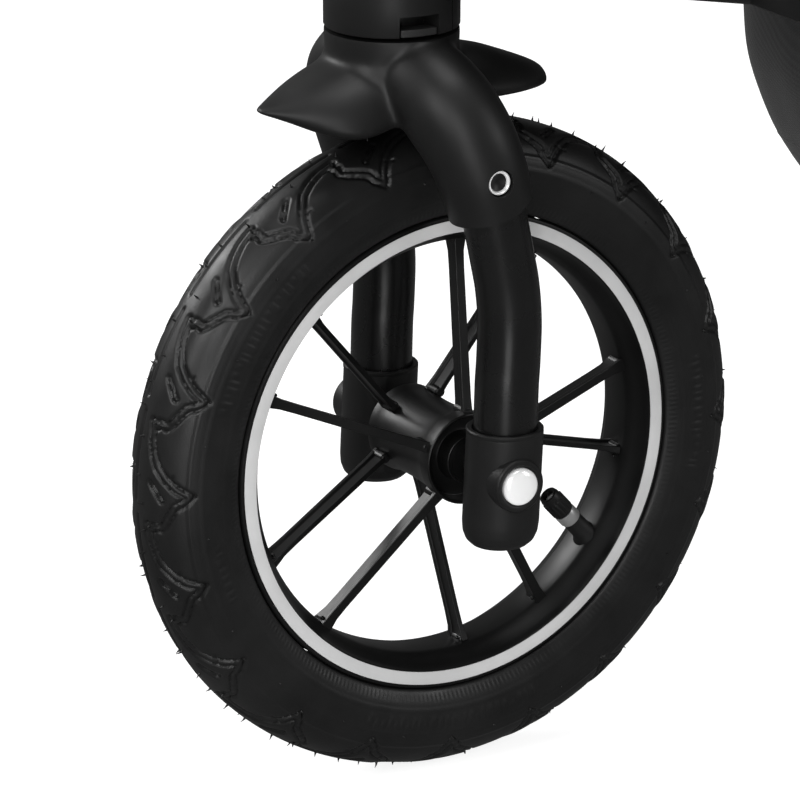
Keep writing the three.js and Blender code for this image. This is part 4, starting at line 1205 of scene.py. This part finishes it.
def ribbon(path, width, thick, up):
    half, edge = width / 2, thick / 2
    section = [(-half, -edge * 0.5), (-half + 0.8, -edge), (half - 0.8, -edge), (half, -edge * 0.5),
               (half, edge * 0.5), (half - 0.8, edge), (-half + 0.8, edge), (-half, edge * 0.5)]
    return sweep(evenly(path, max(24, len(path))), section, up=up)


def build_harness(seat, back):
    a = math.radians(BACKREST_ANGLE)
    out = np.array([math.sin(a), 0, -math.cos(a)])
    parts, buckles = [], []
    for y in (-44, 44):
        line = [lean_back([(r, y * (1 + (r - 60) / 900), 30)])[0] for r in np.linspace(52, 330, 50)]
        laid = draped(line, back, -out, 1.3)
        laid[:2] -= out * 6
        laid[-2:] -= out * 6
        parts.append(ribbon(spline(laid, 70), 25, 1.7, tuple(out)))
        comfort = laid[18:36]
        sleeve = [(-17, -1.4), (-14, -2.2), (14, -2.2), (17, -1.4), (18, 0.6), (16.5, 2.6), (10, 3.9),
                  (-10, 3.9), (-16.5, 2.6), (-18, 0.6)]
        buckles.append(sweep(spline(comfort + out * 2.2, 40), sleeve, up=tuple(out)))
    piece("shoulder_straps", parts, WEBBING, "backrest")
    piece("strap_pads", buckles, SEAT_CLOTH, "backrest", angle=60)
    lines = []
    for flip in (1, -1):
        across = [(26 + 14 * t, flip * (22 + 104 * t), SEAT_Z + 50) for t in np.linspace(0, 1, 24)]
        lines.append(draped(across, seat, (0, 0, -1), 1.6))
    crotch = draped([(62 + 60 * t, 0, SEAT_Z + 50) for t in np.linspace(0, 1, 16)], seat, (0, 0, -1), 1.6)
    straps = []
    for line in lines:
        line[-2:, 2] -= 5
        line[0] = (40, math.copysign(16, line[0, 1]), 541)
        line[1] = (38, math.copysign(21, line[1, 1]), max(line[1, 2], 538))
        straps.append(ribbon(spline(line, 50), 25, 1.7, (0, 0, 1)))
    crotch[-2:, 2] -= 5
    crotch[0] = (58, 0, 539.5)
    straps.append(ribbon(spline(crotch, 30), 30, 1.7, (0, 0, 1)))
    piece("lap_straps", straps, WEBBING, "frame")
    shell = prism(rounded(17, 21, 8), 0, 13, "Z")
    button = prism(rounded(8.5, 10, 4), 12.4, 14.2, "Z")
    tongues = [prism(rounded(4, 12.5, 2) + (x, 0), 3.5, 8.5, "Z") for x in (-18.5, 18.5)]
    put = [moved(turned(p, 12), (48, 0, SEAT_Z + 54)) for p in (shell, *tongues)]
    piece("harness_buckle", put, MOULDED, "frame", ["buckle"], bevel=1.8)
    piece("harness_button", [moved(turned(button, 12), (48, 0, SEAT_Z + 54))], PEDAL, "frame",
          bevel=0.6)


# ---- basket ----------------------------------------------------------------------------------------------
def basket_outline(count):
    """The top rim in plan: half of it from the nose round to the back, then its mirror image."""
    half = [(195, 0), (195, 40), (192, 58), (178, 78), (120, 132), (60, 173), (20, 184), (-60, 186),
            (-200, 186), (-240, 181), (-260, 165), (-265, 140), (-265, 0)]
    ring = half + [(x, -y) for x, y in half[-2:0:-1]]
    closed = np.array(ring + ring[:1], float)
    dense = spline(closed, count * 4)
    return evenly(dense, count + 1)[:-1]


def build_gusset():
    """The cloth that closes the gap from the cushion's back edge up and over the backrest's axis."""
    shape = [(-66, 493.5), (-80, 497), (-94, 503.5), (-106, 512)]
    shape += [(HINGE[0] + 18.5 * math.cos(math.radians(t)), HINGE[2] + 18.5 * math.sin(math.radians(t)))
              for t in range(-25, 141, 15)]
    line = spline([(x, 0, z) for x, z in shape], 46)
    rows = []
    for k, (x, _, z) in enumerate(line):
        y = np.linspace(-146, 146, 74)
        pucker = 1.1 * np.sin(y / 6.1 + 0.9 * math.sin(k / 5)) * math.sin(math.pi * k / 45) ** 0.5
        rows.append(np.column_stack([x + pucker * 0.5, y, z - np.abs(pucker) * 0.6]))
    mesh = mesh_from("seat_gusset_mesh", [grid(np.array(rows))])
    smooth(mesh, 60)
    cloth = place("seat_gusset", mesh, SEAT_CLOTH, "frame")
    thick = cloth.modifiers.new("thickness", "SOLIDIFY")
    thick.thickness = 1.6 * MM
    thick.offset = 0.0
    smooth(apply_modifiers(cloth), 60)


def build_basket():
    ring = basket_outline(160)
    top = BASKET_TOP
    # share of the way down, share drawn in, mm lower than the top
    profile = [(0, 0), (0.0, 8), (0.01, 22), (0.07, 40), (0.22, 57), (0.44, 75), (0.71, 90), (0.95, 100),
               (1.08, 104.5)]
    wall = spline([(a, b, 0) for a, b in profile], 26)[:, :2]
    rows = []
    draw = np.random.default_rng(3)
    phase = draw.uniform(0, 6.28, 4)
    around = np.linspace(0, 2 * math.pi, len(ring), endpoint=False)
    crease = 1.6 * np.sin(11 * around + phase[0]) + 1.1 * np.sin(17 * around + phase[1]) + 0.8 * np.sin(29
            * around + phase[2])
    for inward, down in wall:
        x = (ring[:, 0] + 35) * (1 - 0.155 * inward) - 35 - 8 * inward
        y = ring[:, 1] * (1 - 0.17 * inward)
        depth = down / 104.5
        gather = crease * math.sin(math.pi * min(depth, 1)) * 0.9
        n = np.stack([x + 35, y], -1)
        n /= np.linalg.norm(n, axis=1)[:, None]
        lift = 24 * np.clip((ring[:, 0] - 20) / 175, 0, 1) ** 1.5 * (1 - depth) ** 1.5
        rows.append(np.column_stack([x + n[:, 0] * gather, y + n[:, 1] * gather, top - down + lift]))
    last = rows[-1]
    centre = np.array([-45.0, 0.0, top - 109.5])
    for share in np.linspace(0.1, 0.97, 14):
        flat = last + (centre - last) * share
        flat[:, 2] = top - 104.5 - 5.5 * math.sin(share * math.pi / 2) + 0.5 * np.sin(7 * around
                + phase[3]) * math.sin(math.pi * share)
        rows.append(flat)
    part = grid(np.array(rows), wrap_v=True, cap_u=False)
    part[1].append(list(range(len(part[0]) - len(ring), len(part[0]))))
    mesh = mesh_from("basket_cloth_mesh", [part])
    smooth(mesh, 60)
    cloth = place("basket_cloth", mesh, SHELL_CLOTH, None, ["basket"])
    thick = cloth.modifiers.new("thickness", "SOLIDIFY")
    thick.thickness = 1.8 * MM
    thick.offset = 0.0
    mesh = apply_modifiers(cloth)
    smooth(mesh, 60)
    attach(cloth, "frame")
    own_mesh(cloth)
    rim_line = rows[0] - (0, 0, 1)
    rim = tube(rim_line, 3.6, 12, up=(0, 0, 1), closed=True)
    seam = tube(rows[18] + (0, 0, 0.5), 1.4, 8, up=(0, 0, 1), closed=True)
    for name, part in (("basket_rim", rim), ("basket_seam", seam)):
        trim = piece(name, [part], BINDING, "frame", angle=60)
        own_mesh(trim)
    straps = []
    for x, y, up_x, up_y, up_z in ((-150, 184, -62, 181, 481), (20, 183, 20, 181, 476),
                                   (150, 106, 190, 184, 428)):
        foot = np.array([x, y, top + 2.0 + (15 if x > 100 else 0)])
        head = np.array([up_x, up_y, up_z])
        line = [foot + (0, 2.6, -26), foot + (0, 3.0, -2)] + [foot + (head - foot) * t
                                                              for t in np.linspace(0.12, 1, 10)]
        straps += both(ribbon(spline(line, 30), 20, 1.6, (0, 1, 0.1)))
    piece("basket_straps", straps, WEBBING, "frame")


# ---- rear frame ------------------------------------------------------------------------------------------
def build_rear():
    def leg_at(r, y):
        p = polar(HINGE, r, LEG_ANGLE)
        return (p[0], y, p[2])

    for side, flip in (("left", 1), ("right", -1)):
        bar = tube([leg_at(r, SIDE_Y) for r in np.linspace(56, LEG_LENGTH - 14, 12)], 14, 32, up=(0, 1, 0))
        cap = [tube([leg_at(r, SIDE_Y) for r in (53, 54.5, 57)], 1.0, 32, up=(0, 1, 0),
                    scale=[11.5, 14.6, 14.8])]
        plate = prism(stadium(HINGE, 28, leg_at(98, 0), 12), 198.5, 207.5)
        boss = prism(stadium(leg_at(62, 0), 10, leg_at(96, 0), 9.5), 207, 216)
        rivets = [disc(4, 196.6, 199.4, np.array(leg_at(r, 0)), 1, 20) for r in (70, 92)]
        parts = [bar, plate, boss] + cap + rivets
        parts = [mirrored(p) for p in parts] if flip < 0 else parts
        piece(f"rear_stay_{side}", parts, PAINT, "rear_frame", [f"rear_leg_{side}"],
              bevel=0.8)
    beam = tube([(REAR[0], y, REAR[2]) for y in np.linspace(-SIDE_Y + 5, SIDE_Y - 5, 21)], 13, 32,
                up=(0, 0, 1))
    ends = [disc(24, SIDE_Y - 17, SIDE_Y + 17, REAR, 3),
            disc(10, SIDE_Y + 10, REAR_WHEEL_Y - 27.4, REAR, 1),
            disc(6, SIDE_Y + 10, REAR_WHEEL_Y + 28.6, REAR, 0.5)]
    ends.append(lathe([(13, SIDE_Y - 36), (16, SIDE_Y - 36), (20, SIDE_Y - 22), (20, SIDE_Y - 15),
                       (13, SIDE_Y - 15)], 48, centre=REAR))
    piece("rear_axle_tube", [beam] + ends + [mirrored(p) for p in ends], PAINT, "rear_frame",
          ["rear_axle_beam"])
    lever = prism(stadium(polar(REAR, 16, 168), 6, polar(REAR, 74, 168), 4.6), -42, 42)
    collar = lathe([(13.35, -34), (18.2, -34), (19, -33), (19, 33), (18.2, 34), (13.35, 34)], 48,
                   centre=REAR)
    ribs = [prism(stadium(polar(REAR, r, 168) + (0.8, 0, 4.6), 1.2, polar(REAR, r, 168) + (-0.8, 0, 5.6),
                          1.2, 6), -34, 34) for r in (44, 52, 60, 68)]
    piece("parking_brake", [lever, collar] + ribs, PEDAL, "brake_pedal", ["brake_pedal"], bevel=1.2)


# ---- camera, light and floor -----------------------------------------------------------------------------
def build_view():
    scene = bpy.context.scene
    camera = bpy.data.objects.new("camera", bpy.data.cameras.new("camera"))
    scene.collection.objects.link(camera)
    camera.data.lens = 231.7
    camera.data.sensor_width = 36
    camera.data.clip_start = 0.05
    camera.data.clip_end = 100
    right, up, back = Vector((-0.8615, 0.5079, 0)), Vector((-0.158, -0.268, 0.9505)), Vector((0.4827,
            0.8188, 0.3108))
    turn = Matrix((right, up, back)).transposed().to_4x4()
    camera.matrix_world = Matrix.Translation((1.5349, 1.8966, 0.8951)) @ turn
    scene.camera = camera

    side = 14.0
    floor = place("studio_floor", bpy.data.meshes.new("floor"), floor_material())
    floor.data.from_pydata([(-side, -side, 0), (side, -side, 0), (side, side, 0), (-side, side, 0)], [],
                           [(0, 1, 2, 3)])
    floor.visible_glossy = False

    world = bpy.data.worlds.new("studio")
    scene.world = world
    world.use_nodes = True
    tree = world.node_tree
    shader = tree.nodes["Background"]
    path = tree.nodes.new("ShaderNodeLightPath")
    shade = tree.nodes.new("ShaderNodeMapRange")
    shade.inputs["To Min"].default_value = 0.12
    shade.inputs["To Max"].default_value = 1.0
    tree.links.new(path.outputs["Is Camera Ray"], shade.inputs["Value"])
    tree.links.new(shade.outputs["Result"], shader.inputs["Strength"])
    shader.inputs["Color"].default_value = (1, 1, 1, 1)

    for name, place_at, target, size, power in (
            ("key", (3.0, 1.0, 1.9), (0.4, 0, 0.3), (1.1, 1.3), 34),
            ("front_strip", (2.1, 2.35, 1.5), (0.4, 0, 0.25), (0.16, 1.5), 20),
            ("card", (0.83, 0.74, 0.16), (0.4, 0.05, 0.24), (0.26, 0.26), 1.1),
            ("back_left", (1.9, -2.4, 1.9), (0.4, 0, 0.3), (1.4, 1.4), 60),
            ("top", (0.2, 0.2, 3.2), (0.2, 0, 0.2), (1.6, 1.6), 42),
            ("right", (-1.8, 2.2, 1.6), (0.3, 0, 0.3), (0.4, 1.6), 20)):
        light = bpy.data.objects.new(name, bpy.data.lights.new(name, "AREA"))
        scene.collection.objects.link(light)
        light.data.shape = "RECTANGLE"
        light.data.size, light.data.size_y = size
        light.data.energy = power
        light.visible_camera = False
        light.location = place_at
        light.rotation_mode = "QUATERNION"
        light.rotation_quaternion = (Vector(place_at) - Vector(target)).to_track_quat("Z", "Y")
    scene.view_settings.view_transform = "Standard"


def floor_material():
    material, _, shader = nodes_of("floor_white")
    shader.inputs["Base Color"].default_value = (0.4, 0.4, 0.4, 1)
    shader.inputs["Emission Color"].default_value = (1, 1, 1, 1)
    shader.inputs["Emission Strength"].default_value = 0.86
    shader.inputs["Roughness"].default_value = 0.9
    shader.inputs["Specular IOR Level"].default_value = 0.1
    return material


build_view()
build_wheels()
build_fork()
build_head()
build_frame()
build_handle()
build_seat()
build_gusset()
build_basket()
build_rear()
